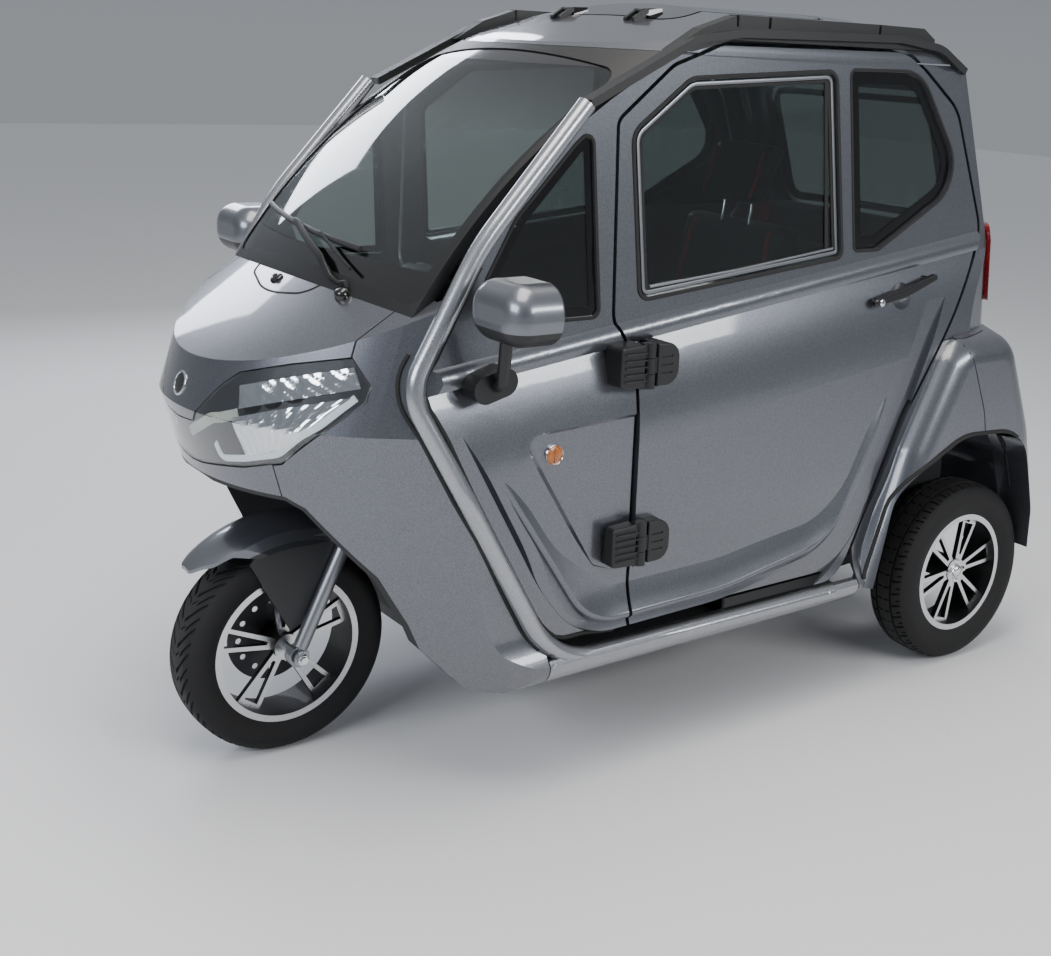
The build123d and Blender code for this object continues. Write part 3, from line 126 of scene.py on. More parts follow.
def lacquer(name, light, dark, roughness):
    """Metallic basecoat under clear lacquer: 1 mm flakes, coarser than real to show, and orange peel."""
    material, tree, shader = new_material(
        name, light, Metallic=0.82, Roughness=roughness, Coat_Weight=1.0, Coat_Roughness=0.03, Coat_IOR=1.5
    )
    place = add_node(tree, "ShaderNodeTexCoord")
    flakes = add_node(tree, "ShaderNodeTexVoronoi", {"Scale": 1000.0}, {"Vector": (place, "Object")})
    shade = add_node(
        tree, "ShaderNodeMix", {"data_type": "RGBA", 6: hex_color(dark), 7: hex_color(light)},
        {"Factor": (flakes, "Color")},
    )
    height = add_node(tree, "ShaderNodeSeparateXYZ", links={"Vector": (place, "Object")})
    low = add_node(
        tree, "ShaderNodeMapRange", {"From Min": 0.5, "From Max": 0.18, "To Min": 0.0, "To Max": 0.5},
        {"Value": (height, "Z")}
    )
    spots = add_node(
        tree, "ShaderNodeTexNoise", {"Scale": 60.0, "Detail": 6.0}, {"Vector": (place, "Object")},
    )
    dust = add_node(
        tree, "ShaderNodeMath", {"operation": "MULTIPLY"}, {0: (low, "Result"), 1: (spots, "Fac")},
    )
    dusty = add_node(
        tree, "ShaderNodeMix", {"data_type": "RGBA", 7: hex_color("#6f6c67")},
        {"Factor": (dust, "Value"), 6: (shade, 2)},
    )
    tree.links.new(dusty.outputs[2], shader.inputs["Base Color"])
    tilt = add_node(
        tree, "ShaderNodeBump", {"Strength": 0.12, "Distance": 0.0003}, {"Height": (flakes, "Distance")},
    )
    tree.links.new(tilt.outputs["Normal"], shader.inputs["Normal"])
    peel = add_node(
        tree, "ShaderNodeTexNoise", {"Scale": 220.0, "Detail": 1.0}, {"Vector": (place, "Object")},
    )
    wave = add_node(tree, "ShaderNodeBump", {"Strength": 0.03, "Distance": 0.001}, {"Height": (peel, "Fac")})
    tree.links.new(wave.outputs["Normal"], shader.inputs["Coat Normal"])
    return material


def grained(name, color, roughness, grain, depth, **sockets):
    """A moulded or coated surface with an even grain of that width in millimetres."""
    material, tree, shader = new_material(name, color, Roughness=roughness, **sockets)
    place = add_node(tree, "ShaderNodeTexCoord")
    pebble = add_node(tree, "ShaderNodeTexVoronoi", {"Scale": 1000.0 / grain}, {"Vector": (place, "Object")})
    bump = add_node(
        tree, "ShaderNodeBump", {"Strength": depth, "Distance": 0.0004}, {"Height": (pebble, "Distance")},
    )
    tree.links.new(bump.outputs["Normal"], shader.inputs["Normal"])
    blotch = add_node(
        tree, "ShaderNodeTexNoise", {"Scale": 9.0, "Detail": 5.0}, {"Vector": (place, "Object")},
    )
    wear = add_node(
        tree, "ShaderNodeMapRange", {"To Min": max(roughness - 0.08, 0.0), "To Max": roughness + 0.08},
        {"Value": (blotch, "Fac")}
    )
    tree.links.new(wear.outputs["Result"], shader.inputs["Roughness"])
    return material


def metal(name, color, roughness, brushed, **sockets):
    """Bare or plated metal with faint marks of that spacing in millimetres."""
    material, tree, shader = new_material(name, color, Metallic=1.0, Roughness=roughness, **sockets)
    place = add_node(tree, "ShaderNodeTexCoord")
    marks = add_node(
        tree, "ShaderNodeTexNoise", {"Scale": 1000.0 / brushed, "Detail": 3.0}, {"Vector": (place, "Object")},
    )
    spread = add_node(
        tree, "ShaderNodeMapRange", {"To Min": roughness * 0.6, "To Max": roughness * 1.5},
        {"Value": (marks, "Fac")}
    )
    tree.links.new(spread.outputs["Result"], shader.inputs["Roughness"])
    bump = add_node(
        tree, "ShaderNodeBump", {"Strength": 0.05, "Distance": 0.0002}, {"Height": (marks, "Fac")},
    )
    tree.links.new(bump.outputs["Normal"], shader.inputs["Normal"])
    return material


def glazing(name, color, clear, **sockets):
    """Glass or clear plastic with a trace of wiped film on it."""
    material, tree, shader = new_material(name, color, Transmission_Weight=clear, **sockets)
    place = add_node(tree, "ShaderNodeTexCoord")
    film = add_node(tree, "ShaderNodeTexNoise", {"Scale": 14.0, "Detail": 6.0}, {"Vector": (place, "Object")})
    haze = add_node(
        tree, "ShaderNodeMapRange", {"From Min": 0.45, "From Max": 0.8, "To Min": 0.0, "To Max": 0.09},
        {"Value": (film, "Fac")}
    )
    tree.links.new(haze.outputs["Result"], shader.inputs["Roughness"])
    return material, tree, shader


def screen_glass():
    """Laminated windscreen: a black enamel border, broad at the foot, and a grey top band."""
    material, tree, shader = glazing("laminated_screen_glass", "#d5dedc", 1.0, IOR=1.52)
    place = add_node(tree, "ShaderNodeTexCoord")
    axes = add_node(tree, "ShaderNodeSeparateXYZ", links={"Vector": (place, "Object")})
    across = add_node(tree, "ShaderNodeMath", {"operation": "ABSOLUTE"}, {0: (axes, "X")})
    side = add_node(
        tree, "ShaderNodeMath", {"operation": "SUBTRACT", 0: screen_half * MM}, {1: (across, "Value")},
    )
    foot = add_node(tree, "ShaderNodeMath", {"operation": "SUBTRACT", 1: screen_foot * MM}, {0: (axes, "Z")})
    foot_edge = add_node(
        tree, "ShaderNodeMath", {"operation": "SUBTRACT", 1: enamel_foot * MM}, {0: (foot, "Value")},
    )
    top = add_node(tree, "ShaderNodeMath", {"operation": "SUBTRACT", 0: screen_head * MM}, {1: (axes, "Z")})
    inner = add_node(
        tree, "ShaderNodeMath", {"operation": "MINIMUM"}, {0: (side, "Value"), 1: (foot_edge, "Value")},
    )
    depth = add_node(
        tree, "ShaderNodeMath", {"operation": "MINIMUM"}, {0: (inner, "Value"), 1: (top, "Value")},
    )
    edged = add_node(
        tree, "ShaderNodeMath", {"operation": "LESS_THAN", 1: enamel_width * MM}, {0: (depth, "Value")},
    )
    enamel = add_node(
        tree, "ShaderNodeBsdfPrincipled",
        {"Base Color": hex_color("#0b0b0c"), "Roughness": 0.12, "Coat Weight": 0.6, "IOR": 1.52},
    )
    shade = add_node(
        tree, "ShaderNodeMapRange", {"From Min": 0.16, "From Max": 0.03, "To Min": 0.0, "To Max": 0.82},
        {"Value": (top, "Value")}
    )
    tinted = add_node(
        tree, "ShaderNodeMix", {"data_type": "RGBA", 6: hex_color("#d5dedc"), 7: hex_color("#2c3438")},
        {"Factor": (shade, "Result")},
    )
    tree.links.new(tinted.outputs[2], shader.inputs["Base Color"])
    border = add_node(
        tree, "ShaderNodeMixShader",
        links={"Fac": (edged, "Value"), 1: (shader, "BSDF"), 2: (enamel, "BSDF")},
    )
    tree.links.new(border.outputs["Shader"], tree.nodes["Material Output"].inputs["Surface"])
    return material


def about_axle(tree, place, centre):
    """The place from a wheel's centre, and its distance from the axle."""
    moved = add_node(
        tree, "ShaderNodeMapping", {"Location": [-c * MM for c in centre]}, {"Vector": (place, "Object")}
    )
    flat = add_node(
        tree, "ShaderNodeVectorMath", {"operation": "MULTIPLY", 1: (0.0, 1.0, 1.0)}, {0: (moved, "Vector")},
    )
    reach = add_node(tree, "ShaderNodeVectorMath", {"operation": "LENGTH"}, {0: (flat, "Vector")})
    return moved, reach


def wheel_alloy(name, centre, rim_r, side, face_x, disc_x):
    """Cast wheel in black lacquer; spoke faces and flange turned in 0.8 mm rings, brake disc ground."""
    material, tree, shader = new_material(
        name, "#0c0d0e", Roughness=0.5, Coat_Weight=0.08, Specular_IOR_Level=0.3,
    )
    place = add_node(tree, "ShaderNodeTexCoord")
    moved, radius = about_axle(tree, place, centre)
    facing = add_node(tree, "ShaderNodeSeparateXYZ", links={"Vector": (place, "Normal")})
    turned = add_node(tree, "ShaderNodeMath", {"operation": "ABSOLUTE"}, {0: (facing, "X")})
    face = add_node(tree, "ShaderNodeMath", {"operation": "GREATER_THAN", 1: 0.96}, {0: (turned, "Value")})
    lip = add_node(
        tree, "ShaderNodeMath", {"operation": "GREATER_THAN", 1: (rim_r - 13) * MM}, {0: (radius, "Value")},
    )
    edge = add_node(tree, "ShaderNodeMath", {"operation": "GREATER_THAN", 1: 0.35}, {0: (turned, "Value")})
    flange = add_node(
        tree, "ShaderNodeMath", {"operation": "MULTIPLY"}, {0: (lip, "Value"), 1: (edge, "Value")},
    )
    either = add_node(
        tree, "ShaderNodeMath", {"operation": "MAXIMUM"}, {0: (face, "Value"), 1: (flange, "Value")},
    )
    depth = add_node(tree, "ShaderNodeSeparateXYZ", links={"Vector": (moved, "Vector")})
    outward = add_node(tree, "ShaderNodeMath", {"operation": "MULTIPLY", 1: float(side)}, {0: (depth, "X")})
    outer = add_node(
        tree, "ShaderNodeMath", {"operation": "GREATER_THAN", 1: (face_x - 1) * MM}, {0: (outward, "Value")},
    )
    bright = add_node(
        tree, "ShaderNodeMath", {"operation": "MULTIPLY"}, {0: (either, "Value"), 1: (outer, "Value")},
    )
    behind = add_node(
        tree, "ShaderNodeMath", {"operation": "LESS_THAN", 1: disc_x * MM}, {0: (outward, "Value")},
    )
    within = add_node(
        tree, "ShaderNodeMath", {"operation": "LESS_THAN", 1: disc_radius * MM}, {0: (radius, "Value")},
    )
    on_disc = add_node(
        tree, "ShaderNodeMath", {"operation": "MULTIPLY"}, {0: (behind, "Value"), 1: (within, "Value")},
    )
    ground = add_node(
        tree, "ShaderNodeMix", {"data_type": "RGBA", 6: hex_color("#0c0d0e"), 7: hex_color("#4b4c4e")},
        {"Factor": (on_disc, "Value")},
    )
    tree.links.new(ground.outputs[2], shader.inputs["Base Color"])
    tree.links.new(on_disc.outputs["Value"], shader.inputs["Metallic"])
    count = add_node(
        tree, "ShaderNodeMath", {"operation": "MULTIPLY", 1: 2 * math.pi / 0.0008}, {0: (radius, "Value")},
    )
    rings = add_node(tree, "ShaderNodeMath", {"operation": "SINE"}, {0: (count, "Value")})
    bump = add_node(
        tree, "ShaderNodeBump", {"Strength": 0.15, "Distance": 0.0001}, {"Height": (rings, "Value")},
    )
    tooled = add_node(
        tree, "ShaderNodeBsdfPrincipled",
        {"Base Color": hex_color("#d3d5d7"), "Metallic": 1.0, "Roughness": 0.22, "Coat Weight": 0.3},
        {"Normal": (bump, "Normal")},
    )
    joined = add_node(
        tree, "ShaderNodeMixShader",
        links={"Fac": (bright, "Value"), 1: (shader, "BSDF"), 2: (tooled, "BSDF")},
    )
    tree.links.new(joined.outputs["Shader"], tree.nodes["Material Output"].inputs["Surface"])
    return material


def tread_rubber(name, centre, radius):
    """Vulcanised rubber: mould rings 4 mm apart on the flanks, a fine skin, greyer where it has rolled."""
    material, tree, shader = new_material(name, "#131314", Roughness=0.72, Specular_IOR_Level=0.35)
    place = add_node(tree, "ShaderNodeTexCoord")
    reach = about_axle(tree, place, centre)[1]
    worn = add_node(
        tree, "ShaderNodeMapRange",
        {"From Min": (radius - 4) * MM, "From Max": radius * MM, "To Min": 0.0, "To Max": 0.6},
        {"Value": (reach, "Value")},
    )
    color = add_node(
        tree, "ShaderNodeMix", {"data_type": "RGBA", 6: hex_color("#131314"), 7: hex_color("#2b2b2b")},
        {"Factor": (worn, "Result")},
    )
    tree.links.new(color.outputs[2], shader.inputs["Base Color"])
    count = add_node(
        tree, "ShaderNodeMath", {"operation": "MULTIPLY", 1: 2 * math.pi / 0.004}, {0: (reach, "Value")},
    )
    rings = add_node(tree, "ShaderNodeMath", {"operation": "SINE"}, {0: (count, "Value")})
    skin_noise = add_node(
        tree, "ShaderNodeTexNoise", {"Scale": 700.0, "Detail": 2.0}, {"Vector": (place, "Object")},
    )
    both = add_node(
        tree, "ShaderNodeMath", {"operation": "MULTIPLY_ADD", 1: 0.35},
        {0: (rings, "Value"), 2: (skin_noise, "Fac")},
    )
    bump = add_node(
        tree, "ShaderNodeBump", {"Strength": 0.25, "Distance": 0.0005}, {"Height": (both, "Value")},
    )
    tree.links.new(bump.outputs["Normal"], shader.inputs["Normal"])
    return material


def prism_lens(name, color, pitch, glow=0.0):
    """Moulded lamp lens: gloss outside, with rows of small prisms of that pitch in millimetres behind."""
    material, tree, shader = new_material(
        name, color, Roughness=0.06, Transmission_Weight=0.35, IOR=1.49, Coat_Weight=1.0, Coat_Roughness=0.02
    )
    place = add_node(tree, "ShaderNodeTexCoord")
    cells = add_node(
        tree, "ShaderNodeTexVoronoi", {"Scale": 1000.0 / pitch, "Randomness": 0.0},
        {"Vector": (place, "Object")}
    )
    bump = add_node(
        tree, "ShaderNodeBump", {"Strength": 0.7, "Distance": 0.001}, {"Height": (cells, "Distance")},
    )
    tree.links.new(bump.outputs["Normal"], shader.inputs["Normal"])
    # Painted shade: the lens colour darkens to a third of itself towards each prism's edge
    base = hex_color(color)
    shadow = (base[0] * 0.35, base[1] * 0.35, base[2] * 0.35, 1.0)
    prism_shade = add_node(
        tree, "ShaderNodeMix", {"data_type": "RGBA", 6: base, 7: shadow}, {"Factor": (cells, "Distance")}
    )
    tree.links.new(prism_shade.outputs[2], shader.inputs["Base Color"])
    if glow:
        shader.inputs["Emission Color"].default_value = base
        shader.inputs["Emission Strength"].default_value = glow
    return material


# Shapes


def bent(corners, bends, closed=True, arc_steps=7, edge_steps=10):
    """Points along a line through corners, with a bend at each that has one."""
    corners = [Vector(c) for c in corners]
    count = len(corners)
    rows = []
    for i, corner in enumerate(corners):
        bend = bends[i]
        if bend <= 0 or (not closed and i in (0, count - 1)):
            rows.append([corner])
            continue
        u = (corners[i - 1] - corner).normalized()
        v = (corners[(i + 1) % count] - corner).normalized()
        theta = u.angle(v)
        if theta > 3.12:
            rows.append([corner])
            continue
        cut = bend / math.tan(theta / 2)
        centre = corner + (u + v).normalized() * bend / math.sin(theta / 2)
        a, b = corner + u * cut - centre, corner + v * cut - centre
        phi = math.pi - theta
        steps = [k / arc_steps for k in range(arc_steps + 1)]
        rows.append([
            centre + (a * math.sin((1 - s) * phi) + b * math.sin(s * phi)) / math.sin(phi) for s in steps
        ])
    line = []
    for i, row in enumerate(rows):
        line += row
        if closed or i < count - 1:
            after = rows[(i + 1) % count][0]
            line += [row[-1].lerp(after, k / edge_steps) for k in range(1, edge_steps)]
    return line


def inset(corners, by):
    """The same outline (a, b, bend), drawn further in."""
    count = len(corners)
    area = sum(corners[i - 1][0] * corners[i][1] - corners[i][0] * corners[i - 1][1] for i in range(count))
    turn = 1 if area > 0 else -1
    moved = []
    for i, (a, b, bend) in enumerate(corners):
        before = Vector((a - corners[i - 1][0], b - corners[i - 1][1])).normalized()
        after = Vector((corners[(i + 1) % count][0] - a, corners[(i + 1) % count][1] - b)).normalized()
        n1, n2 = Vector((-before.y, before.x)) * turn, Vector((-after.y, after.x)) * turn
        shift = (n1 + n2) / (1 + n1.dot(n2)) * by
        moved.append((a + shift.x, b + shift.y, max(bend - by, 3.0)))
    return moved


def open_line(points, bends=None):
    """Points along a line that does not close; without bends it is straight from corner to corner."""
    return bent(points, bends or [0] * len(points), closed=False)


def side_loop(corners, side, **steps):
    """An outline (y, z, bend) as places beside the vehicle."""
    return bent([(side * 500, y, z) for y, z, bend in corners], [bend for y, z, bend in corners], **steps)


def front_loop(corners, depth=-900, **steps):
    """An outline (x, z, bend) as places across the vehicle."""
    return bent([(x, depth, z) for x, z, bend in corners], [bend for x, z, bend in corners], **steps)


def circle(centre, radius, across, up, steps=24):
    """Places round a circle; across and up are unit directions."""
    centre, across, up = Vector(centre), Vector(across) * radius, Vector(up) * radius
    turns = [2 * math.pi * k / steps for k in range(steps)]
    return [centre + across * math.cos(t) + up * math.sin(t) for t in turns]


def skin(*names):
    """A tree for throwing rays at these CAD nodes."""
    verts, faces = [], []
    for name in names:
        obj = nodes[name]
        start = len(verts)
        verts += [obj.matrix_world @ v.co for v in obj.data.vertices]
        faces += [tuple(start + i for i in face.vertices) for face in obj.data.polygons]
    return BVHTree.FromPolygons(verts, faces)


def laid(tree, points, heading, lift=0.0):
    """Places where points thrown along heading meet a skin, lifted off it, and the way out at each."""
    heading = Vector(heading)
    hits = []
    for point in points:
        place, out = tree.ray_cast(point * MM - heading * 2, heading)[:2]
        if place is None:
            place, out = tree.find_nearest(point * MM)[:2]
        hits.append((place, out if out.dot(heading) < 0 else -out))
    outs = [
        (hits[i - 1][1] + hit[1] + hits[(i + 1) % len(hits)][1]).normalized() for i, hit in enumerate(hits)
    ]
    return [hit[0] + out * lift * MM for hit, out in zip(hits, outs)], outs


def seat_of(tree, point, heading):
    """Where one point meets a skin, in millimetres, and the way out there."""
    places, outs = laid(tree, [Vector(point)], heading)
    return places[0] / MM, outs[0]


def baked(obj):
    """The plain mesh that an object's modifiers make."""
    return bpy.data.meshes.new_from_object(obj.evaluated_get(bpy.context.evaluated_depsgraph_get()))


def keep(name, mesh, material, body, crease=38.0):
    """Add a finished mesh as a piece of that body."""
    if material is not None:
        mesh.materials.clear()
        mesh.materials.append(material)
    for face in mesh.polygons:
        face.use_smooth = True
    mesh.set_sharp_from_angle(angle=math.radians(crease))
    obj = bpy.data.objects.new(name, mesh)
    bpy.context.collection.objects.link(obj)
    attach(obj, body)
    return obj


def closed_mesh(name, verts, faces):
    """A mesh with doubles merged and its faces pointing out."""
    mesh = bpy.data.meshes.new(name)
    work = bmesh.new()
    made = [work.verts.new(v) for v in verts]
    for face in faces:
        if len(set(face)) > 2:
            work.faces.new([made[i] for i in face])
    bmesh.ops.remove_doubles(work, verts=work.verts, dist=0.00002)
    bmesh.ops.recalc_face_normals(work, faces=work.faces)
    work.to_mesh(mesh)
    work.free()
    return mesh


def walls(rows, span):
    """Faces between rows of places, each row closed on itself."""
    return [
        (row * span + k, row * span + (k + 1) % span, (row + 1) * span + (k + 1) % span, (row + 1) * span + k)
        for row in range(rows - 1) for k in range(span)
    ]


def sheet_on(name, tree, loops, heading, lift, thick, material, body, filled=False):
    """A thin plate that follows a skin, between the first and the last loop, or filled to its middle."""
    tops = [laid(tree, loop, heading, lift) for loop in loops]
    count = len(loops[0])
    verts = [p for places, outs in tops for p in places]
    verts += [p - o * thick * MM for places, outs in tops for p, o in zip(places, outs)]
    under = count * len(loops)
    faces = walls(len(loops), count)
    faces += [(under + a, under + d, under + c, under + b) for a, b, c, d in faces]
    rims = [0] if filled else [0, (len(loops) - 1) * count]
    for rim in rims:
        for i in range(count):
            j = (i + 1) % count
            faces.append((rim + i, rim + j, under + rim + j, under + rim + i))
    if filled:
        last = (len(loops) - 1) * count
        faces.append(tuple(last + i for i in range(count)))
        faces.append(tuple(under + last + i for i in range(count)))
    return keep(name, closed_mesh(name, verts, faces), material, body)


def shrunk(loop, shares):
    """The same loop at several shares of its size about its middle."""
    middle = sum(loop, Vector()) / len(loop)
    return [[middle.lerp(p, share) for p in loop] for share in shares]


def lathe(name, profile, place, heading, material, body, steps=32, crease=38.0):
    """A turned piece: its profile (radius, along) in millimetres, round a line from place along heading."""
    turn = Vector(heading).normalized().to_track_quat("Z", "Y").to_matrix()
    verts = []
    for radius, along in profile:
        for k in range(steps):
            t = 2 * math.pi * k / steps
            spot = Vector((radius * math.cos(t), radius * math.sin(t), along))
            verts.append((Vector(place) + turn @ spot) * MM)
    faces = walls(len(profile), steps)
    for row in (0, len(profile) - 1):
        faces.append(tuple(row * steps + k for k in range(steps)))
    return keep(name, closed_mesh(name, verts, faces), material, body, crease)


def box_mesh(name, centre, size, bevel, turn=(0, 0, 0), segments=3):
    """A box with rounded edges; turn is in degrees about X, Y and Z."""
    work = bmesh.new()
    bmesh.ops.create_cube(work, size=1.0)
    bmesh.ops.scale(work, vec=Vector(size) * MM, verts=work.verts)
    bmesh.ops.bevel(
        work, geom=work.edges[:], offset=bevel * MM, segments=segments, profile=0.5, affect="EDGES"
    )
    about_x, about_y, about_z = (Matrix.Rotation(math.radians(a), 4, axis) for a, axis in zip(turn, "XYZ"))
    work.transform(Matrix.Translation(Vector(centre) * MM) @ (about_z @ about_y @ about_x))
    mesh = bpy.data.meshes.new(name)
    work.to_mesh(mesh)
    work.free()
    return mesh


def block(name, centre, size, bevel, material, body, turn=(0, 0, 0)):
    return keep(name, box_mesh(name, centre, size, bevel, turn), material, body)


# Node trees for what repeats or follows a line


def new_tree(name, inputs):
    """An empty node tree with a geometry input and output, named inputs and a material."""
    tree = bpy.data.node_groups.new(name, "GeometryNodeTree")
    sockets = {}
    for label, kind in [("Geometry", "Geometry"), *inputs, ("Material", "Material")]:
        socket = tree.interface.new_socket(name=label, in_out="INPUT", socket_type="NodeSocket" + kind)
        sockets[label] = socket.identifier
    tree.interface.new_socket(name="Geometry", in_out="OUTPUT", socket_type="NodeSocketGeometry")
    return tree, sockets, add_node(tree, "NodeGroupInput")


def end_tree(tree, given, source, socket):
    """End a tree in real geometry with its material set."""
    real = add_node(tree, "GeometryNodeRealizeInstances", links={"Geometry": (source, socket)})
    welded = add_node(
        tree, "GeometryNodeMergeByDistance", {"Distance": 0.00002}, {"Geometry": (real, "Geometry")},
    )
    painted = add_node(
        tree, "GeometryNodeSetMaterial", links={
            "Geometry": (welded, "Geometry"), "Material": (given, "Material"),
        }
    )
    add_node(tree, "NodeGroupOutput", links={"Geometry": (painted, "Geometry")})


def moulding_tree():
    """A strip of rounded rectangular section along edges; the attribute out is the way it faces."""
    tree, sockets, given = new_tree("moulding", [("Width", "Float"), ("Height", "Float"), ("Edge", "Float")])
    line = add_node(tree, "GeometryNodeMeshToCurve", links={"Mesh": (given, "Geometry")})
    out = add_node(tree, "GeometryNodeInputNamedAttribute", {"data_type": "FLOAT_VECTOR", "Name": "out"})
    faced = add_node(
        tree, "GeometryNodeSetCurveNormal", {"mode": "FREE"},
        {"Curve": (line, "Curve"), "Normal": (out, "Attribute")}
    )
    section = add_node(
        tree, "GeometryNodeCurvePrimitiveQuadrilateral", links={
            "Width": (given, "Height"), "Height": (given, "Width"),
        }
    )
    eased = add_node(
        tree, "GeometryNodeFilletCurve", {"mode": "POLY", "Count": 3, "Limit Radius": True},
        {"Curve": (section, "Curve"), "Radius": (given, "Edge")},
    )
    body = add_node(
        tree, "GeometryNodeCurveToMesh", {"Fill Caps": True},
        {"Curve": (faced, "Curve"), "Profile Curve": (eased, "Curve")},
    )
    end_tree(tree, given, body, "Mesh")
    return tree, sockets


def copies_of(tree, given):
    """As many copies of the given piece as its count says, and their numbers."""
    points = add_node(tree, "GeometryNodePoints", links={"Count": (given, "Count")})
    wanted = {"Points": (points, "Points"), "Instance": (given, "Geometry")}
    copies = add_node(tree, "GeometryNodeInstanceOnPoints", links=wanted)
    return copies, add_node(tree, "GeometryNodeInputIndex")


def ring_tree():
    """Copies of a piece round an axis."""
    tree, sockets, given = new_tree("ring", [("Count", "Int"), ("Centre", "Vector"), ("Axis", "Vector")])
    copies, index = copies_of(tree, given)
    part = add_node(
        tree, "ShaderNodeMath", {"operation": "DIVIDE"}, {0: (index, "Index"), 1: (given, "Count")},
    )
    angle = add_node(tree, "ShaderNodeMath", {"operation": "MULTIPLY", 1: 2 * math.pi}, {0: (part, "Value")})
    turn = add_node(
        tree, "FunctionNodeAxisAngleToRotation", links={"Axis": (given, "Axis"), "Angle": (angle, "Value")}
    )
    turned = add_node(
        tree, "GeometryNodeRotateInstances", {"Local Space": False},
        {
            "Instances": (copies, "Instances"), "Rotation": (turn, "Rotation"),
            "Pivot Point": (given, "Centre"),
        },
    )
    end_tree(tree, given, turned, "Instances")
    return tree, sockets


def row_tree():
    """Copies of a piece along a step."""
    tree, sockets, given = new_tree("row", [("Count", "Int"), ("Step", "Vector")])
    copies, index = copies_of(tree, given)
    far = add_node(
        tree, "ShaderNodeVectorMath", {"operation": "SCALE"}, {0: (given, "Step"), "Scale": (index, "Index")},
    )
    moved = add_node(
        tree, "GeometryNodeTranslateInstances", {"Local Space": False},
        {"Instances": (copies, "Instances"), "Translation": (far, "Vector")},
    )
    end_tree(tree, given, moved, "Instances")
    return tree, sockets


def grown(name, mesh, made, values, material, body, outs=None, crease=38.0):
    """The plain mesh that a node tree makes from a base mesh, as a piece of that body."""
    tree, sockets = made
    if outs:
        attribute = mesh.attributes.new("out", "FLOAT_VECTOR", "POINT")
        attribute.data.foreach_set("vector", [c for out in outs for c in out])
    maker = bpy.data.objects.new(name + "_base", mesh)
    bpy.context.collection.objects.link(maker)
    modifier = maker.modifiers.new("shape", "NODES")
    modifier.node_group = tree
    for label, value in {**values, "Material": material}.items():
        modifier[sockets[label]] = value
    result = baked(maker)
    bpy.data.objects.remove(maker)
    result.name = name
    return keep(name, result, material, body, crease)


def line_mesh(name, places, closed):
    mesh = bpy.data.meshes.new(name)
    count = len(places)
    edges = [(i, i + 1) for i in range(count - 1)] + ([(count - 1, 0)] if closed else [])
    mesh.from_pydata([tuple(p) for p in places], edges, [])
    return mesh


moulding = moulding_tree()
ring = ring_tree()
row = row_tree()


def strip_on(name, tree, points, heading, lift, size, material, body, closed=True):
    """A strip along points thrown onto a skin; size is (width, height, edge radius)."""
    places, outs = laid(tree, points, heading, lift)
    values = dict(zip(("Width", "Height", "Edge"), [s * MM for s in size]))
    return grown(name, line_mesh(name, places, closed), moulding, values, material, body, outs)


def bar(name, points, out, size, material, body, closed=False):
    """A strip through free points (millimetres) that faces one way."""
    values = dict(zip(("Width", "Height", "Edge"), [s * MM for s in size]))
    places = [Vector(p) * MM for p in points]
    return grown(
        name, line_mesh(name, places, closed), moulding, values, material, body, [Vector(out)] * len(places),
    )


# Sizes of this vehicle's own lines, as in its source
screen_half, screen_foot, screen_head = 428.5, 1079.0, 1589.0
# Width of the enamel along the screen's edges, what its foot adds, and the brake discs' radius
enamel_width, enamel_foot, disc_radius = 26, 42, 107
cloth_frames = 14
front_wheel, rear_wheel_left, rear_wheel_right = (0, -897, 243), (480, 847, 247), (-480, 847, 247)
window_front = [(-275, 1075, 22), (-305, 1430, 45), (-150, 1545, 60), (290, 1572, 26), (338, 1138, 14)]
window_rear = [(388, 1150, 12), (345, 1578, 12), (590, 1580, 110), (776, 1312, 100), (470, 1150, 30)]
pane_foot = [(-250, 1098), (20, 1122), (315, 1156)]
pane_sash = [(296, 1140), (266, 1555)]
quarter_window = [
    (-392, 1046, 14), (-418, 1435, 14), (-455, 1405, 60), (-600, 1255, 120), (-672, 1130, 30),
    (-640, 1046, 30),
]
arch = [(457, 301, 0), (548, 560, 190), (755, 655, 190), (1010, 640, 150), (1071, 445, 0)]
rear_window = [(-320, 1166, 60), (320, 1166, 60), (320, 1530, 60), (-320, 1530, 60)]
hood_flap = [(-237, -818, 1075), (-183, -877, 1054), (-29, -923, 1046), (104, -892, 1059), (123, -845, 1086)]
cream_edge = [(40, 776), (90, 800), (140, 826), (205, 848)]
wiper_blade = [(-378, 1190), (192, 1161)]
wiper_arm = [(221, 1092), (-120, 1184)]
wiper_link = [(212, 1120), (30, 1172)]
tube_line = [
    (472, -440, 1490), (474, -692, 1203), (480, -848, 925), (522, -734, 700), (521, -506, 292),
    (530, 345, 292),
]
tube_bends = [0, 600, 105, 300, 210, 0]
# How far behind the lens's outer face the light guides and the reflector plates lie
guide_depth, plate_front, plate_back = 5.4, 5.6, 7.4
led_line = [(128, 770), (134, 737), (200, 750), (282, 774), (362, 848), (400, 905)]
# Reflector fields behind the lens: inner low, inner high, outer high and outer low corners (x, z)
upper_field = [(203, 857), (190, 902), (384, 964), (402, 924)]
lower_field = [(206, 757), (194, 838), (392, 905), (310, 796)]

# The finishes of the pieces
silver_lacquer = lacquer("silver_grey_lacquer", "#75787f", "#4d5057", 0.3)
# The body's silver lacquer made lighter for the round side tube: a painted highlight
highlit_lacquer = lacquer("silver_lacquer_painted_highlight", "#aeb1b6", "#83868c", 0.26)
# ABS mouldings: satin black with a fine even grain
black_plastic = grained("grained_black_plastic", "#141516", 0.45, 1.4, 0.25)
# Polypropylene liners: dull, coarser grain
liner_plastic = grained("dull_liner_plastic", "#1c1d1f", 0.62, 2.2, 0.35)
# EPDM seals: soft matt black
seal_rubber = grained("seal_rubber", "#0d0d0e", 0.7, 0.9, 0.2)
# Gloss black mouldings: door handles, wiper, lamp rims and small fittings
gloss_black = grained("gloss_black_plastic", "#0a0b0c", 0.16, 3.0, 0.03, Coat_Weight=0.6)
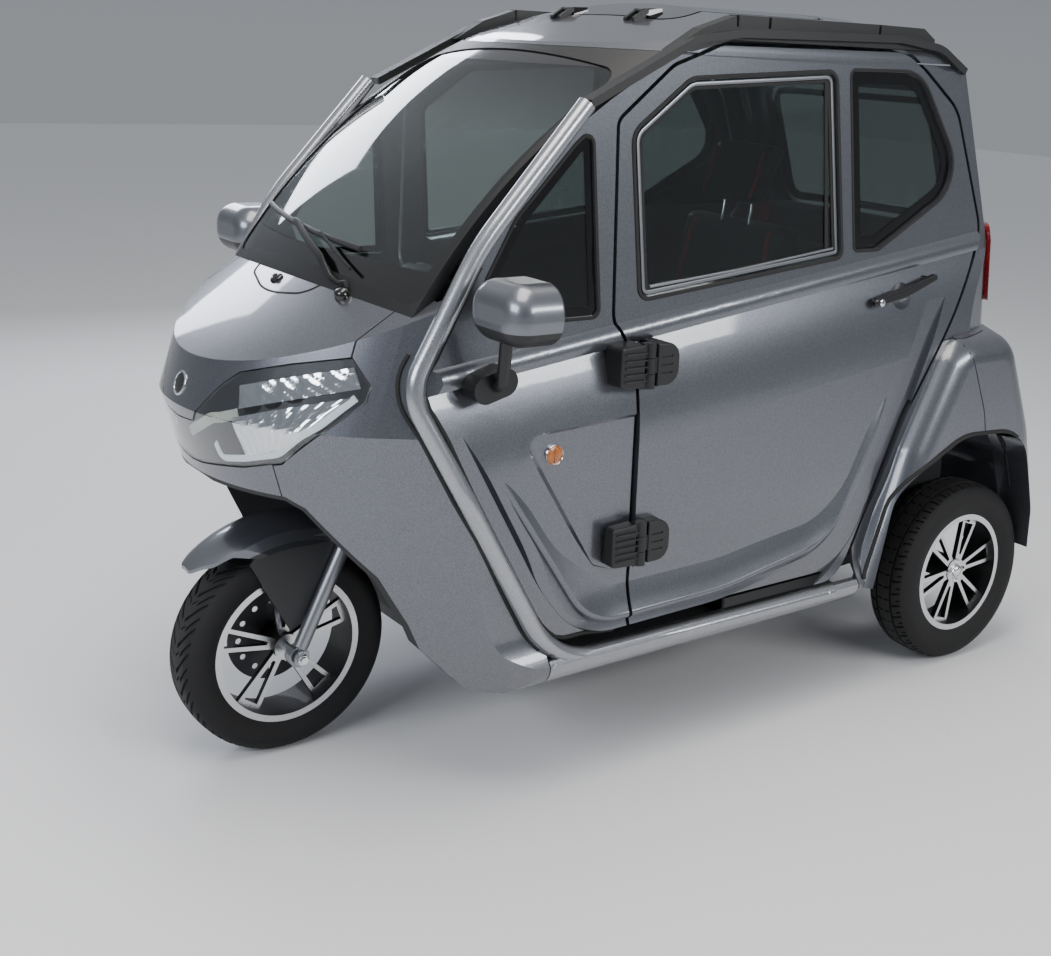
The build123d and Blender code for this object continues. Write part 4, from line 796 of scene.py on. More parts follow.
# Powder coated steel: low gloss with a slight orange peel
coated_steel = grained("powder_coated_steel", "#1a1c1e", 0.4, 3.0, 0.12)
# Chromed steel and vacuum chrome on reflectors: mirror bright
chrome = metal("chrome_plate", "#e6e8ea", 0.06, 2.0)
reflector_chrome = metal("vacuum_chrome", "#f0f2f4", 0.04, 6.0)
# Zinc plated and brushed parts: duller
zinc = metal("zinc_plate", "#a9acb0", 0.35, 1.5)
anodised = metal("anodised_window_rail", "#8b8e92", 0.32, 1.0)
# Toughened glass: green grey, see-through
side_glass = glazing("toughened_side_glass", "#9ba6a3", 1.0, IOR=1.52)[0]
# Tinted hatch panel: near black gloss
hatch_glass = grained("smoked_hatch_glass", "#0b0c0e", 0.05, 9.0, 0.01, Coat_Weight=1.0)
# Polycarbonate lamp lens: clear
lamp_lens = glazing("clear_polycarbonate", "#f4f6f7", 1.0, IOR=1.58)[0]
# Black enamel fired on glass
glass_enamel = grained("fired_black_enamel", "#070708", 0.14, 6.0, 0.02)
silver_mirror = metal("silvered_glass", "#eceff0", 0.015, 9.0)
tail_lens = prism_lens("red_prism_lens", "#a80d16", 7.0)
amber_lens = prism_lens("amber_prism_lens", "#e07a0c", 4.0)
red_reflector = prism_lens("red_reflector_lens", "#8f0a12", 4.0)
# Diffusing strips of the lamps: milky, lit through
led_strip = new_material(
    "milky_led_strip", "#f1f4f8", Roughness=0.3, Subsurface_Weight=0.3, Emission_Strength=0.35,
    Emission_Color=(0.95, 0.97, 1.0, 1.0),
)[0]
cream_strip = new_material(
    "cream_light_guide", "#e4dccb", Roughness=0.2, Coat_Weight=1.0, Subsurface_Weight=0.3,
)[0]
# PU leatherette: a soft pebble of 2 mm, low gloss
leatherette = grained("pebbled_leatherette", "#151314", 0.5, 2.0, 0.35, Sheen_Weight=0.15)
red_leatherette = grained("red_leatherette", "#a11219", 0.48, 2.0, 0.3)
grip_rubber = grained("grip_rubber", "#101011", 0.66, 1.2, 0.35)

dress(
    silver_lacquer, "side_panel_left", "side_panel_right", "door_left", "door_right", "roof_panel",
    "nose_cowl", "nose_lip", "front_panel_left", "front_panel_right", "rear_panel", "rear_quarter_left",
    "rear_quarter_right", "rear_bumper",
)
# Side tube in the lighter copy of the body lacquer, a painted highlight
dress(highlit_lacquer, "side_mouldings")
dress(
    black_plastic, "windscreen_frame", "roof_rails", "hinge_brackets", "hinge_leaves_left",
    "hinge_leaves_right", "hatch_hinges",
)
dress(gloss_black, "door_handle_left", "door_handle_right", "wiper")
dress(liner_plastic, "leg_shield", "floor_pan", "dashboard")
dress(screen_glass(), "windscreen")
dress(side_glass, "door_glass_left", "door_glass_right", "quarter_glass", "rear_glass")
dress(hatch_glass, "roof_hatch")
dress(lamp_lens, "front_band")
dress(tail_lens, "tail_lamps")
dress(coated_steel, "handlebar", "chassis_frame", "rear_axle", "battery_pack")
for name, centre, rim_r, side, face_x, disc_x in (
    ("front_rim", front_wheel, 179, 1, 26, -41), ("rear_rim_left", rear_wheel_left, 169.5, 1, 38, -100),
    ("rear_rim_right", rear_wheel_right, 169.5, -1, 38, -100),
):
    dress(wheel_alloy(name + "_finish", centre, rim_r, side, face_x, disc_x), name)


def two_finishes(name, lower, upper, mask):
    """Two finishes on one moulding; mask adds the nodes that tell them apart and gives the last of them."""
    material = bpy.data.materials.new(name)
    material.use_nodes = True
    tree = material.node_tree
    tree.nodes.clear()
    place = add_node(tree, "ShaderNodeTexCoord")
    low = add_node(tree, "ShaderNodeBsdfPrincipled", lower)
    high = add_node(tree, "ShaderNodeBsdfPrincipled", upper)
    joined = add_node(
        tree, "ShaderNodeMixShader", links={
            "Fac": (mask(tree, place), "Value"), 1: (low, "BSDF"), 2: (high, "BSDF"),
        }
    )
    add_node(tree, "ShaderNodeOutputMaterial", links={"Surface": (joined, "Shader")})
    return material


def above(limit):
    """Mask of what is higher than a level, as painted covers over a black shell are."""
    def mask(tree, place):
        axes = add_node(tree, "ShaderNodeSeparateXYZ", links={"Vector": (place, "Object")})
        return add_node(
            tree, "ShaderNodeMath", {"operation": "GREATER_THAN", 1: limit * MM}, {0: (axes, "Z")},
        )
    return mask


def beyond(centre, limit):
    """Mask of what is further than a radius from an axle, as a fender's crown is."""
    def mask(tree, place):
        reach = about_axle(tree, place, centre)[1]
        return add_node(
            tree, "ShaderNodeMath", {"operation": "GREATER_THAN", 1: limit * MM}, {0: (reach, "Value")},
        )
    return mask


painted = {
    "Base Color": hex_color("#6c6f76"), "Metallic": 0.82, "Roughness": 0.33, "Coat Weight": 1.0,
    "Coat Roughness": 0.03,
}
shell = {"Base Color": hex_color("#101112"), "Roughness": 0.4}
# Mirror housings: a lacquered dome over a black moulded band and foot
dress(two_finishes("mirror_housing", shell, painted, above(1074)), "mirrors")
# Fork: silver lacquered stanchions under a black steel crown
strut = {"Base Color": hex_color("#8f9297"), "Metallic": 0.9, "Roughness": 0.3, "Coat Weight": 0.5}
crown = {"Base Color": hex_color("#18191b"), "Roughness": 0.4}
dress(two_finishes("fork_finish", strut, crown, above(505)), "fork")
# Front fender: lacquered crown, dark grey moulded cover plates beside the tyre
cover = {"Base Color": hex_color("#26282b"), "Roughness": 0.42}
dress(two_finishes("fender_finish", cover, painted, beyond(front_wheel, 262)), "front_fender")
# Lamp housing: satin dark grey moulding behind the chrome reflector plates
lamp_housing = grained("lamp_housing_plastic", "#3a3c40", 0.3, 5.0, 0.04, Metallic=0.4)
dress(lamp_housing, "headlamps")

set_camera()
sides = ((1, "left"), (-1, "right"))
# Ways in which lines are thrown onto skins
rearward, forward, down = (0, 1, 0), (0, -1, 0), (0, 0, -1)

# Side windows, seals, hinges, handles, reflectors
for side, word in sides:
    into = (-side, 0, 0)
    door_skin = skin("door_" + word)
    pane_skin = skin("door_glass_" + word)
    panel_skin = skin("side_panel_" + word)
    quarter_skin = skin("rear_quarter_" + word)
    sill_skin = skin("side_mouldings")
    door, body = word + "_door", "body"
    low_rail = open_line([(side * 500, y, z) for y, z in pane_foot])
    sash = open_line([(side * 500, y, z) for y, z in pane_sash])
    # Name, skin it lies on, line, whether it closes, lift, (width, height, edge radius), finish
    for name, tree, line, closed, lift, size, material in (
        (
            "seal_front", door_skin, side_loop(inset(window_front, -5), side), True, 0.5, (9, 5, 2),
            seal_rubber,
        ),
        (
            "seal_rear", door_skin, side_loop(inset(window_rear, -4), side), True, 0.3, (7, 4, 1.8),
            seal_rubber,
        ),
        ("rail", pane_skin, side_loop(inset(window_front, 9), side), True, 1.5, (9, 7, 1.5), anodised),
        ("channel", pane_skin, side_loop(inset(window_front, 18), side), True, 0.8, (8, 5, 1.5), seal_rubber),
        ("low_rail", pane_skin, low_rail, False, 1.5, (6, 9, 1.5), anodised),
        ("sash", pane_skin, sash, False, 1.2, (11, 6, 1.5), seal_rubber),
    ):
        strip_on(f"window_{name}_{word}", tree, line, into, lift, size, material, door, closed)
    border = [side_loop(inset(window_rear, by), side) for by in (-1, 14, 30)]
    sheet_on(f"rear_pane_enamel_{word}", pane_skin, border, into, 0.8, 0.6, glass_enamel, door)
    quarter_pane = skin("quarter_glass")
    sheet_on(
        f"quarter_enamel_{word}", quarter_pane,
        [side_loop(inset(quarter_window, by), side) for by in (-1, 10, 20)],
        into, 0.8, 0.6, glass_enamel, body,
    )
    strip_on(
        f"quarter_seal_{word}", panel_skin, side_loop(inset(quarter_window, -4), side), into, 0.3,
        (8, 4, 1.8), seal_rubber, body
    )
    lip = [(side * 500, y, z) for y, z, bend in arch]
    strip_on(
        f"arch_lip_{word}", quarter_skin,
        open_line([(x, y - 4, z + 4) for x, y, z in lip], [b for y, z, b in arch]),
        into, 1.0, (10, 8, 3), seal_rubber, body, closed=False,
    )
    for line, points in enumerate((
        [(678, 903), (770, 909), (862, 917)], [(736, 911), (824, 713), (839, 644)],
    )):
        seam = open_line([(side * 500, y, z) for y, z in points], [0, 200, 0])
        strip_on(
            f"quarter_seam_{line}_{word}", quarter_skin, seam, into, 0.0, (3, 1.2, 0.3), seal_rubber, body,
            closed=False,
        )
    # Seals each side of the silver tube: on the front panel and on the side panel
    tube = bent([(side * x, y, z) for x, y, z in tube_line], tube_bends, closed=False, edge_steps=16)
    for place_name, by, tree, highest, rearmost in (
        ("outer", 20, skin("front_panel_" + word), 1000, -540), ("inner", -23, panel_skin, 1180, -330),
    ):
        run = []
        for k, point in enumerate(tube):
            ahead = tube[min(k + 1, len(tube) - 1)] - tube[max(k - 1, 0)]
            flat = Vector((0, -ahead.z, ahead.y)).normalized()
            run.append(point - flat * by)
        run = [p for p in run if p.z < highest and p.y < rearmost]
        strip_on(
            f"tube_seal_{place_name}_{word}", tree, run, into, 0.5, (9, 8, 3), seal_rubber, body,
            closed=False,
        )
    # Amber side reflector in its chrome ring
    place, out = seat_of(panel_skin, (side * 500, -515, 763), into)
    lathe(
        f"reflector_ring_{word}", [(0, -1), (23, -1), (23, 4), (21.5, 6), (20, 4), (20, 2), (0, 2)], place,
        out, chrome, body,
    )
    lathe(
        f"reflector_lens_{word}", [(0, 1), (20, 1), (20, 4), (16, 6.5), (8, 8), (0, 8.4)], place, out,
        amber_lens, body,
    )
    block(f"reflector_bar_{word}", place + out * 8.2, (3, 5, 34), 1, amber_lens, body)
    # Screws at both ends of the sill
    for end, y in (("front", -513), ("rear", 322)):
        place, out = seat_of(sill_skin, (side * 700, y, 298), into)
        lathe(
            f"sill_screw_{end}_{word}", [(0, -1), (7, -1), (7, 1), (5, 2.6), (2.4, 3), (2, 1.8), (0, 1.8)],
            place, out, zinc, body, 20,
        )
    # Ribs on the hinges
    for level, height in (("upper", 940), ("lower", 538)):
        middle = (side * 553.6, -338, height - 30)
        rib = box_mesh("hinge_rib", middle, (3, 58, 3.2), 1, segments=2)
        grown(
            f"hinge_ribs_{level}_{word}", rib, row, {"Count": 5, "Step": Vector((0, 0, 15)) * MM},
            black_plastic, body,
        )
    # Lock barrel in the door handle
    handle_skin = skin("door_handle_" + word)
    place, out = seat_of(handle_skin, (side * 500, 452, 1021), into)
    lathe(f"door_lock_{word}", [(0, -1), (9, -1), (9, 1.5), (7.5, 2.5), (0, 2.5)], place, out, chrome, door)
    lathe(f"door_lock_slot_{word}", [(0, 2), (2, 2), (2, 3), (0, 3)], place, out, seal_rubber, door, steps=4)
    # Mirror glass behind its rim
    mirror_skin = skin("mirrors")
    glass = [
        [Vector((side * 625 + share * 72 * p.x, -600, 1100 + share * 42 * p.z)) for p in
         circle((0, 0, 0), 1.0, (1, 0, 0), (0, 0, 1))]
        for share in (1, 0.6, 0.2)
    ]
    sheet_on(f"mirror_glass_{word}", mirror_skin, glass, forward, 1.2, 1.5, silver_mirror, body, filled=True)
    strip_on(f"mirror_rim_{word}", mirror_skin, glass[0], forward, 1.0, (5, 5, 2), black_plastic, body)


def chevron(u, v):
    """How far a shard of the upper reflector stands out, over its five cells."""
    cell = (u * 5 + 0.35 * abs(v - 0.5)) % 1.0
    ridge = min(cell / 0.3, (1 - cell) / 0.7)
    return 1.2 * ridge + 0.9 * abs(((u * 10 + v * 2) % 1.0) - 0.5)


def swept_rib(u, v):
    """How far a rib of the lower reflector stands out; the ribs lean outwards as they rise."""
    turn = (u * 8 + 1.6 * v * v) % 1.0
    return 1.5 * min(turn / 0.75, (1 - turn) / 0.25)


def reflector(name, side, word, corners, columns, levels, relief):
    """A chrome plate behind the lens, pressed to a relief over its four corners (x, z)."""
    (x0, z0), (x1, z1), (x2, z2), (x3, z3) = corners
    spread, heights = [], []
    for i in range(columns + 1):
        for j in range(levels + 1):
            u, v = i / columns, j / levels
            x = (1 - u) * ((1 - v) * x0 + v * x1) + u * ((1 - v) * x3 + v * x2)
            z = (1 - u) * ((1 - v) * z0 + v * z1) + u * ((1 - v) * z3 + v * z2)
            spread.append(Vector((side * x, -900, z)))
            heights.append(relief(u, v))
    places = laid(lens_skin, spread, rearward)[0]
    tops = [p + Vector((0, plate_front - height, 0)) * MM for p, height in zip(places, heights)]
    backs = [p + Vector((0, plate_back, 0)) * MM for p in places]
    step, under = levels + 1, len(tops)
    faces = []
    for i in range(columns):
        for j in range(levels):
            a = i * step + j
            faces.append((a, a + step, a + step + 1, a + 1))
            faces.append((under + a, under + a + 1, under + a + step + 1, under + a + step))
        for j in (0, levels):
            a = i * step + j
            faces.append((a, under + a, under + a + step, a + step))
    for j in range(levels):
        for i in (0, columns):
            a = i * step + j
            faces.append((a, a + 1, under + a + 1, under + a))
    mesh = closed_mesh(f"reflector_{name}_{word}", tops + backs, faces)
    keep(f"reflector_{name}_{word}", mesh, reflector_chrome, "body", 6.0)


# Front: wiper, emblem place, hood flap, lamps and their light guides
cowl_skin = skin("nose_cowl")
screen_skin = skin("windscreen")
for name, ends, lift, size, material in (
    ("squeegee", wiper_blade, 4.5, (3, 8, 0.8), seal_rubber),
    ("blade", wiper_blade, 11, (13, 7, 2.5), black_plastic),
    ("arm", wiper_arm, 19, (17, 8, 3), black_plastic), ("link", wiper_link, 19, (7, 5, 2), black_plastic),
):
    line = open_line([(x, -900, z) for x, z in ends])
    strip_on("wiper_" + name, screen_skin, line, rearward, lift, size, material, "body", False)
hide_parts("wiper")
lathe(
    "wiper_pivot", [(0, -6), (17, -6), (17, 10), (14, 20), (9, 24), (0, 25)], (219, -856, 1070),
    (0.1, -0.45, 1.0), gloss_black, "body"
)
place, out = seat_of(cowl_skin, (0, -900, 872), rearward)
lathe(
    "emblem_ring", [(0, -2), (27, -2), (27, 1.5), (25, 3), (22, 3), (21, 1.5), (0, 1.5)], place, out, chrome,
    "body", 48,
)
lathe("emblem_disc", [(0, 1), (21, 1), (21, 2.2), (14, 2.8), (0, 3)], place, out, gloss_black, "body", 48)
flap = open_line(hood_flap, [0, 60, 250, 60, 0])
strip_on("hood_flap_joint", cowl_skin, flap, down, 0.2, (5, 2, 0.6), seal_rubber, "body", closed=False)
place, out = seat_of(cowl_skin, (-49, -882, 1070), down)
lathe(
    "hood_lock", [(0, -1), (15, -1), (15, 3), (12, 6), (6, 7), (5, 12), (0, 13)], place, out, gloss_black,
    "body",
)
lens_skin = skin("front_band")
for side, word in sides:
    for name, line, bends, width, material in (
        ("led", led_line, [0, 14, 60, 60, 60, 0], 15, led_strip),
        ("cream", cream_edge, [0, 60, 60, 0], 22, cream_strip),
    ):
        guide = open_line([(side * x, -900, z) for x, z in line], bends)
        size = (width, 2.2, 0.6)
        strip_on(
            f"{name}_guide_{word}", lens_skin, guide, rearward, -guide_depth, size, material, "body", False,
        )
    reflector("upper", side, word, upper_field, 40, 8, chevron)
    reflector("lower", side, word, lower_field, 54, 8, swept_rib)

# Rear window, bumper and tail lamps
rear_skin, back_panel = skin("rear_glass"), skin("rear_panel")
window = [front_loop(inset(rear_window, by), 900) for by in (-2, 16, 34)]
sheet_on("rear_window_enamel", rear_skin, window, forward, 0.8, 0.6, glass_enamel, "body")
strip_on(
    "rear_window_seal", back_panel, front_loop(inset(rear_window, -6), 900), forward, 0.5, (11, 5, 2),
    seal_rubber, "body"
)
bumper_skin = skin("rear_bumper")
for side, word in sides:
    loop = front_loop(
        [(side * 300, 455, 8), (side * 400, 455, 8), (side * 400, 490, 8), (side * 300, 490, 8)], 900,
    )
    sheet_on(
        f"rear_reflector_{word}", bumper_skin, shrunk(loop, (1, 0.6, 0.2)), forward, 3.5, 4, red_reflector,
        "body", True,
    )
    loop = circle((side * 250, 900, 600), 36, (1, 0, 0), (0, 0, 1))
    sheet_on(
        f"fog_lamp_rim_{word}", bumper_skin, [loop, shrunk(loop, (0.85,))[0]], forward, 5, 6, gloss_black,
        "body",
    )
    sheet_on(
        f"fog_lamp_{word}", bumper_skin, shrunk(loop, (0.86, 0.5, 0.2)), forward, 4, 5, tail_lens, "body",
        True,
    )
seam = front_loop([(-150, 520, 14), (150, 520, 14), (150, 700, 14), (-150, 700, 14)], 900)
strip_on("plate_field_edge", bumper_skin, seam, forward, 0.6, (4, 2.5, 1), black_plastic, "body")


# Tyres with cut tread: one pitch of the tread, repeated round the axle by the ring tree


def tyre_section(half, bead_r, radius, foot, step):
    """The outer line of a tyre from its crown to its bead, as (across, radius)."""
    edge = (half - step, radius - 9)
    mid = (half, (bead_r + radius) / 2)
    low = (half - foot, bead_r + 1)
    flat = half * 0.45
    crown = [(flat * k / 6, radius - 1.5 * (k / 6) ** 2) for k in range(7)]
    fall = edge[0] - flat
    drop = [(flat + fall * k / 5, radius - 1.5 - 7.5 * (k / 5) ** 2.2) for k in range(1, 6)]
    swell = (2 * mid[0] - (edge[0] + low[0]) / 2, 2 * mid[1] - (edge[1] + low[1]) / 2)
    flank = []
    for k in range(1, 13):
        s = k / 12
        a, b, c = (1 - s) ** 2, 2 * (1 - s) * s, s * s
        across = min(a * edge[0] + b * swell[0] + c * low[0], half)
        flank.append((across, a * edge[1] + b * swell[1] + c * low[1]))
    return crown + drop + flank


def tread_pitch(name, centre, half, bead_r, radius, count, grooves, channels, lean, foot=9.0, step=15.0):
    """One pitch of a tyre as an open mesh; grooves are (from, to, inner, outer, depth)."""
    line = tyre_section(half, bead_r, radius, foot, step)
    tops = {round(a, 2) for a, b in line[:12]}
    tops |= {w for g in grooves for w in (g[2], g[2] + 0.8, g[3] - 0.8, g[3])}
    tops |= {c + s for c, w, d in channels for s in (-w, -w + 0.8, w - 0.8, w) if c + s > 0}
    tops = [t for t in sorted(tops) if t <= line[11][0]]

    def height(across):
        for (a0, r0), (a1, r1) in zip(line[:11], line[1:12]):
            if a0 <= across <= a1:
                return r0 + (r1 - r0) * (across - a0) / max(a1 - a0, 1e-6)
        return line[11][1]

    section = [(t, height(t), True) for t in tops] + [(a, b, False) for a, b in line[12:]]
    inner = [(half - foot - 6, bead_r - 9, False), (half - 20, bead_r - 12, False), (0.0, bead_r - 12, False)]
    side_line = section + inner
    columns = sorted({0.0, 1.0} | {v for g in grooves for v in (g[0], g[0] + 0.03, g[1] - 0.03, g[1])})
    verts = []
    rows = [(a, r, top) for a, r, top in reversed(side_line[1:])]
    rows = [(-a, r, top) for a, r, top in rows] + side_line
    for u in columns:
        for across, reach, top in rows:
            wide = abs(across)
            cut = 0.0
            if top:
                for start, end, near, far, depth in grooves:
                    if start + 0.02 < u < end - 0.02 and near + 0.4 <= wide <= far - 0.4:
                        cut = max(cut, depth)
                for middle, width, depth in channels:
                    if abs(wide - middle) <= width - 0.4:
                        cut = max(cut, depth)
            shift = lean * min(wide / half, 1.0) ** 1.3 if reach > bead_r + 12 else lean
            angle = 2 * math.pi / count * (u + shift)
            r = reach - cut
            verts.append(Vector((
                centre[0] + across, centre[1] + r * math.sin(angle), centre[2] + r * math.cos(angle)
            )) * MM)
    mesh = bpy.data.meshes.new(name)
    mesh.from_pydata([tuple(v) for v in verts], [], walls(len(columns), len(rows)))
    mesh.update()
    return mesh


def add_tyre(node, body, centre, half, bead_r, radius, count, grooves, channels, lean):
    rubber = tread_rubber(node + "_rubber", centre, radius)
    pitch = tread_pitch(node + "_pitch", centre, half, bead_r, radius, count, grooves, channels, lean)
    values = {"Count": count, "Centre": Vector(centre) * MM, "Axis": Vector((1, 0, 0))}
    tyre = grown(node + "_treaded", pitch, ring, values, rubber, body, crease=28.0)
    work = bmesh.new()
    work.from_mesh(tyre.data)
    bmesh.ops.remove_doubles(work, verts=work.verts, dist=0.0001)
    bmesh.ops.recalc_face_normals(work, faces=work.faces)
    work.to_mesh(tyre.data)
    work.free()
    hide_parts(node)


# Scooter tyre: long swept V grooves with short ones between; car tyre: two channels and shoulder sipes
add_tyre(
    "front_tyre", "front_wheel", front_wheel, 65.5, 179, 243.4, 26,
    [(0.10, 0.30, 5.0, 50.0, 5.0), (0.55, 0.72, 22.0, 50.0, 4.5), (0.80, 0.90, 3.0, 18.0, 4.0)], [], 1.35,
)
for node, body, centre in (
    ("rear_tyre_left", "left_rear_wheel", rear_wheel_left),
    ("rear_tyre_right", "right_rear_wheel", rear_wheel_right),
):
    add_tyre(
        node, body, centre, 67.9, 169.5, 247.4, 44,
        [(0.12, 0.30, 27.0, 52.0, 5.5), (0.55, 0.68, 40.0, 52.0, 5.0), (0.62, 0.74, 3.0, 20.0, 4.0)],
        [(23.5, 3.4, 6.5)], 0.45,
    )

# Hubs: caps, nuts and valves, and the front axle's washers and nuts
for side, word, centre in ((1, "left", rear_wheel_left), (-1, "right", rear_wheel_right)):
    body = word + "_rear_wheel"
    out = (side, 0, 0)
    face = centre[0] + side * 34
    lathe(
        f"hub_cap_{word}", [(0, -4), (17, -4), (17, 8), (15, 13), (10, 16), (0, 17)],
        (face, centre[1], centre[2]), out, chrome, body
    )
    nut = lathe(
        f"wheel_nut_{word}", [(0, -2), (8.5, -2), (8.5, 8), (7, 10), (4, 14), (0, 15)],
        (face, centre[1] + 27, centre[2]), out, chrome, body, 6, 20.0,
    )
    base = nut.data.copy()
    bpy.data.objects.remove(nut)
    values = {"Count": 4, "Centre": Vector(centre) * MM, "Axis": Vector((1, 0, 0))}
    grown(f"wheel_nuts_{word}", base, ring, values, chrome, body, crease=20.0)
    lathe(
        f"valve_{word}", [(0, 0), (4, 0), (4, 22), (3, 24), (0, 24)],
        (face - side * 8, centre[1] + 30, centre[2] + 150),
        (side, 0.0, -0.6), seal_rubber, body, 12,
    )
for side, word in sides:
    end = (side * 115, front_wheel[1], front_wheel[2])
    lathe(
        f"axle_washer_{word}", [(0, -3), (17, -3), (17, 2), (0, 2)], end, (side, 0, 0), zinc, "steering", 28
    )
    lathe(
        f"axle_nut_{word}", [(0, 1), (14, 1), (14, 11), (12, 13), (8, 13), (8, 17), (0, 17)], end,
        (side, 0, 0), chrome, "steering", 6, 20.0,
    )

# Handlebar: rubber grips with ribs, chrome ends, levers, switch pods and the display
for side, word in sides:
    end, inner = Vector((side * 330, -432.6, 1007.6)), Vector((side * 190, -468.7, 1024.8))
    along = (inner - end).normalized()
    ribs = [(12.5, 0), (16, 1)]
    for k in range(12):
        ribs += [(16.2, 6 + k * 9), (16.2, 11 + k * 9), (15.0, 12 + k * 9), (15.0, 14.5 + k * 9)]
    ribs += [(16, 116), (19, 117), (19, 122), (12.5, 122)]
    lathe(f"grip_{word}", ribs, end, along, grip_rubber, "steering", 28)
    lathe(f"bar_end_{word}", [(0, -9), (9, -9), (13, -6), (13, 2), (0, 2)], end, along, chrome, "steering")
    block(f"switch_pod_{word}", inner + along * -6, (34, 42, 40), 8, black_plastic, "steering", (-25, 0, 0))
    lever = open_line(
        [inner + Vector((0, -32, 2)), inner.lerp(end, 0.4) + Vector((0, -62, 0)), end + Vector((0, -52, 0))],
        [0, 60, 0],
    )
    bar(f"lever_{word}", lever, (0, -0.4, 1), (13, 6, 3), zinc, "steering")
block("display_shell", (0, -545, 1046), (190, 74, 60), 16, black_plastic, "steering", (28, 0, 0))
block("display_glass", (0, -531, 1071), (158, 52, 6), 2, glass_enamel, "steering", (28, 0, 0))
dash_skin = skin("dashboard")
for number, x in enumerate((-300, -262, 262, 300)):
    place, out = seat_of(dash_skin, (x, -760, 1100), down)
    lathe(
        f"dash_vent_{number}", [(15, -1), (17, -1), (17, 3), (14, 4), (12, 2), (0, 2), (0, -1)], place, out,
        gloss_black, "body",
    )


# Seats: stuffed leatherette over foam, with red welts on the driver's


def side_block(name, corners, half, x=0.0):
    """A closed block with this outline (y, z, bend) in the side view."""
    loop = bent(
        [(0, y, z) for y, z, bend in corners], [bend for y, z, bend in corners], arc_steps=5, edge_steps=4
    )
    count = len(loop)
    verts = [Vector((x + s * half, p.y, p.z)) * MM for s in (-1, 1) for p in loop]
    faces = [tuple(range(count)), tuple(range(count, 2 * count))]
    faces += [(k, (k + 1) % count, count + (k + 1) % count, count + k) for k in range(count)]
    return closed_mesh(name, verts, faces)


def stuffed(name, corners, half, cap, material, grain=11.0, x=0.0):
    """A cushion blown up by cloth simulation from a slightly smaller block; cap is how far it may swell."""
    mesh = side_block(name + "_form", inset(corners, 9), half - 9, x)
    form = bpy.data.objects.new(name + "_form", mesh)
    bpy.context.collection.objects.link(form)
    remesh = form.modifiers.new("even", "REMESH")
    remesh.mode = "VOXEL"
    remesh.voxel_size = grain * MM
    rounded = baked(form)
    bpy.data.objects.remove(form)
    pad = bpy.data.objects.new(name, rounded)
    bpy.context.collection.objects.link(pad)
    smooth = pad.modifiers.new("ease", "SMOOTH")
    smooth.iterations = 6
    plain = baked(pad)
    pad.modifiers.clear()
    pad.data = plain
    start = [v.co.copy() for v in plain.vertices]
    cloth = pad.modifiers.new("foam", "CLOTH")
    settings = cloth.settings
    settings.use_pressure = True
    settings.uniform_pressure_force = 4.0
    settings.effector_weights.gravity = 0.0
    settings.tension_stiffness = 12.0
    settings.bending_stiffness = 0.6
    scene = bpy.context.scene
    for step in range(1, cloth_frames + 1):
        scene.frame_set(step)
    blown = pad.evaluated_get(bpy.context.evaluated_depsgraph_get()).data
    ends = [v.co.copy() for v in blown.vertices]
    pad.modifiers.clear()
    scene.frame_set(1)
    for vertex, a, b in zip(pad.data.vertices, start, ends):
        move = b - a
        vertex.co = a + move * min(1.0, cap * MM / max(move.length, 1e-9))
    divide = pad.modifiers.new("fine", "SUBSURF")
    divide.levels = divide.render_levels = 1
    final = baked(pad)
    bpy.data.objects.remove(pad)
    final.name = name
    cushion = keep(name, final, material, "body", 60.0)
    return cushion


def welt(name, cushion, points, heading, material, size=(7, 7, 3.4), closed=True):
    """A sewn welt laid along points on a cushion."""
    tree = BVHTree.FromObject(cushion, bpy.context.evaluated_depsgraph_get())
    return strip_on(name, tree, points, heading, 0.5, size, material, "body", closed)


driver_base = [(-20, 560, 40), (408, 545, 40), (414, 650, 30), (-40, 680, 45)]
driver_back = [(400, 600, 30), (500, 1180, 45), (410, 1190, 40), (310, 640, 30)]
driver_head = [(428, 1200, 24), (515, 1375, 30), (430, 1385, 30), (365, 1205, 24)]
bench_base = [(540, 648, 20), (880, 648, 20), (880, 760, 40), (530, 770, 40)]
bench_back = [(800, 720, 20), (895, 720, 20), (860, 1090, 30), (790, 1090, 30)]
seat_parts = {
    "driver_cushion": stuffed("driver_cushion", driver_base, 230, 8, leatherette),
    "driver_backrest": stuffed("driver_backrest", driver_back, 215, 8, leatherette),
    "driver_headrest": stuffed("driver_headrest", driver_head, 120, 6, leatherette),
}
for side, word in sides:
    edge = [(side * 205, 30, 700), (side * 208, 360, 690)]
    welt(
        f"cushion_welt_{word}", seat_parts["driver_cushion"], open_line(edge), down,
        red_leatherette, closed=False,
    )
    edge = [(side * 165, 250, 720), (side * 172, 280, 950), (side * 150, 290, 1150)]
    welt(
        f"backrest_welt_{word}", seat_parts["driver_backrest"], open_line(edge, [0, 120, 0]),
        rearward, red_leatherette, (16, 7, 3.4), closed=False,
    )
    welt(
        f"headrest_welt_{word}", seat_parts["driver_headrest"],
        open_line([(side * 92, 250, 1232), (side * 92, 250, 1352)]),
        rearward, red_leatherette, (10, 6, 3), closed=False,
    )
for number, z in enumerate((800, 880, 960, 1040)):
    edge = [(-150, 250, z), (150, 250, z)]
    welt(
        f"backrest_channel_{number}", seat_parts["driver_backrest"], open_line(edge),
        rearward, seal_rubber, (4, 2.5, 1), closed=False,
    )
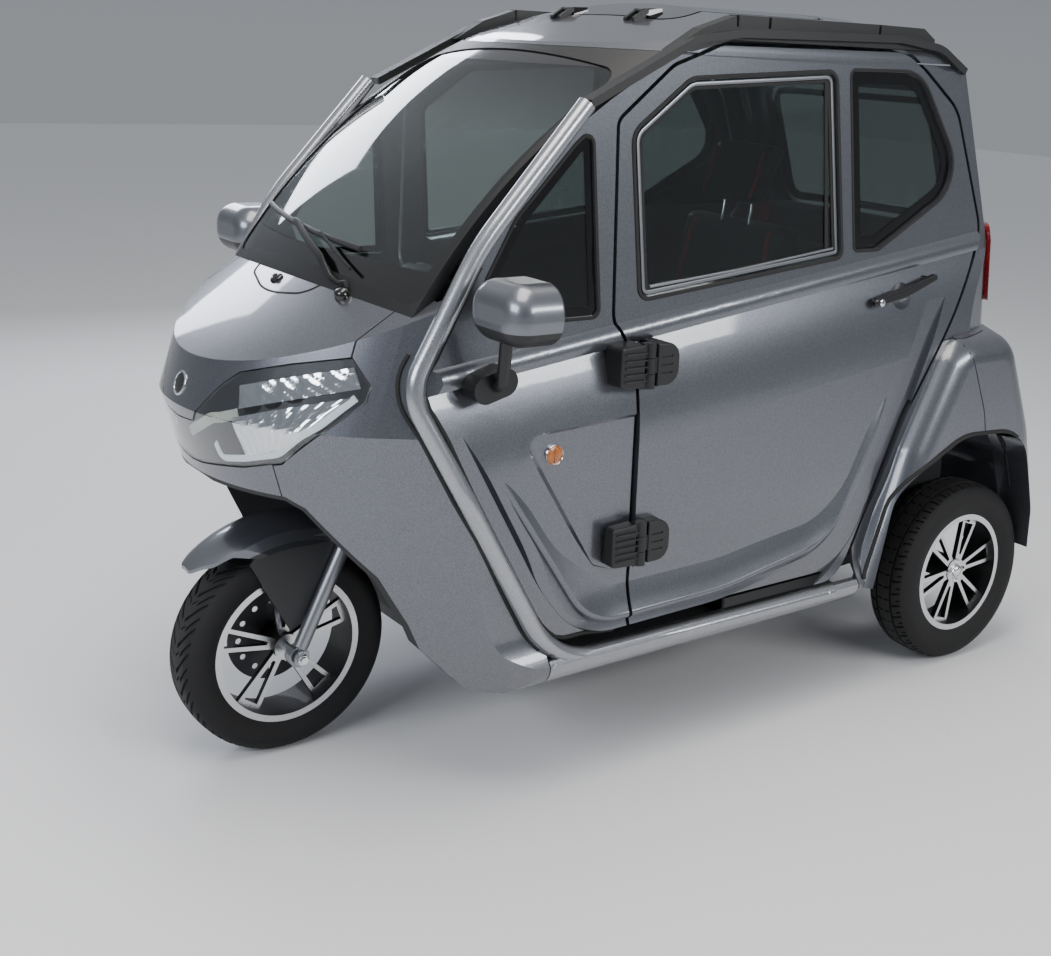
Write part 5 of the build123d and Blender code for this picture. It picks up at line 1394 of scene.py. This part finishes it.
for x in (-54, 54):
    lathe(
        f"headrest_post_{x + 54}", [(0, 0), (6, 0), (6, 130), (0, 130)], (x, 418, 1120), (0, 0.14, 1), chrome,
        "body", 16,
    )
block("seat_pedestal", (0, 220, 520), (300, 320, 84), 6, coated_steel, "body")
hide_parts("driver_seat")
bench = stuffed("bench_cushion", bench_base, 330, 8, leatherette, 13.0)
stuffed("bench_backrest", bench_back, 330, 8, leatherette, 13.0)
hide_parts("rear_seat")
for side, word in sides:
    edge = [(side * 290, 560, 790), (side * 290, 780, 790)]
    welt(f"bench_welt_{word}", bench, open_line(edge), down, red_leatherette, closed=False)

# Stage
floor_paint = grained("pale_matt_floor", "#d6d7d9", 0.75, 6.0, 0.02)
bpy.ops.mesh.primitive_plane_add(size=40, location=(0, 0, 0))
floor = bpy.context.object
floor.name = "floor"
floor.data.materials.append(floor_paint)

world = bpy.data.worlds.new("soft_studio")
bpy.context.scene.world = world
world.use_nodes = True
sky = world.node_tree
way = add_node(sky, "ShaderNodeTexCoord")
rise = add_node(sky, "ShaderNodeSeparateXYZ", links={"Vector": (way, "Generated")})
fade = add_node(sky, "ShaderNodeValToRGB", links={"Fac": (rise, "Z")})
fade.color_ramp.elements[0].position = 0.0
fade.color_ramp.elements[0].color = hex_color("#b4b8be")
fade.color_ramp.elements[1].position = 0.75
fade.color_ramp.elements[1].color = hex_color("#f2f5fa")
low_light = fade.color_ramp.elements.new(0.12)
low_light.color = hex_color("#a3a9b2")
backdrop = sky.nodes["Background"]
sky.links.new(fade.outputs["Color"], backdrop.inputs["Color"])
backdrop.inputs["Strength"].default_value = 0.62
add_light("overhead_softbox", (0.6, -0.6, 4.6), (0.2, -0.1, 0.8), (2.2, 4.5), 190, "#fff8ef")
add_light("front_softbox", (1.2, -4.6, 2.6), (0, -0.4, 0.8), (2.6, 1.6), 120, "#f3f7ff")
add_light("side_strip", (4.6, 1.4, 2.6), (0, 0.2, 0.8), (3.4, 0.9), 130, "#ffffff")
add_light("far_strip", (-4.2, 0.5, 2.6), (0, 0.0, 0.9), (3.0, 1.2), 90, "#eef3ff")
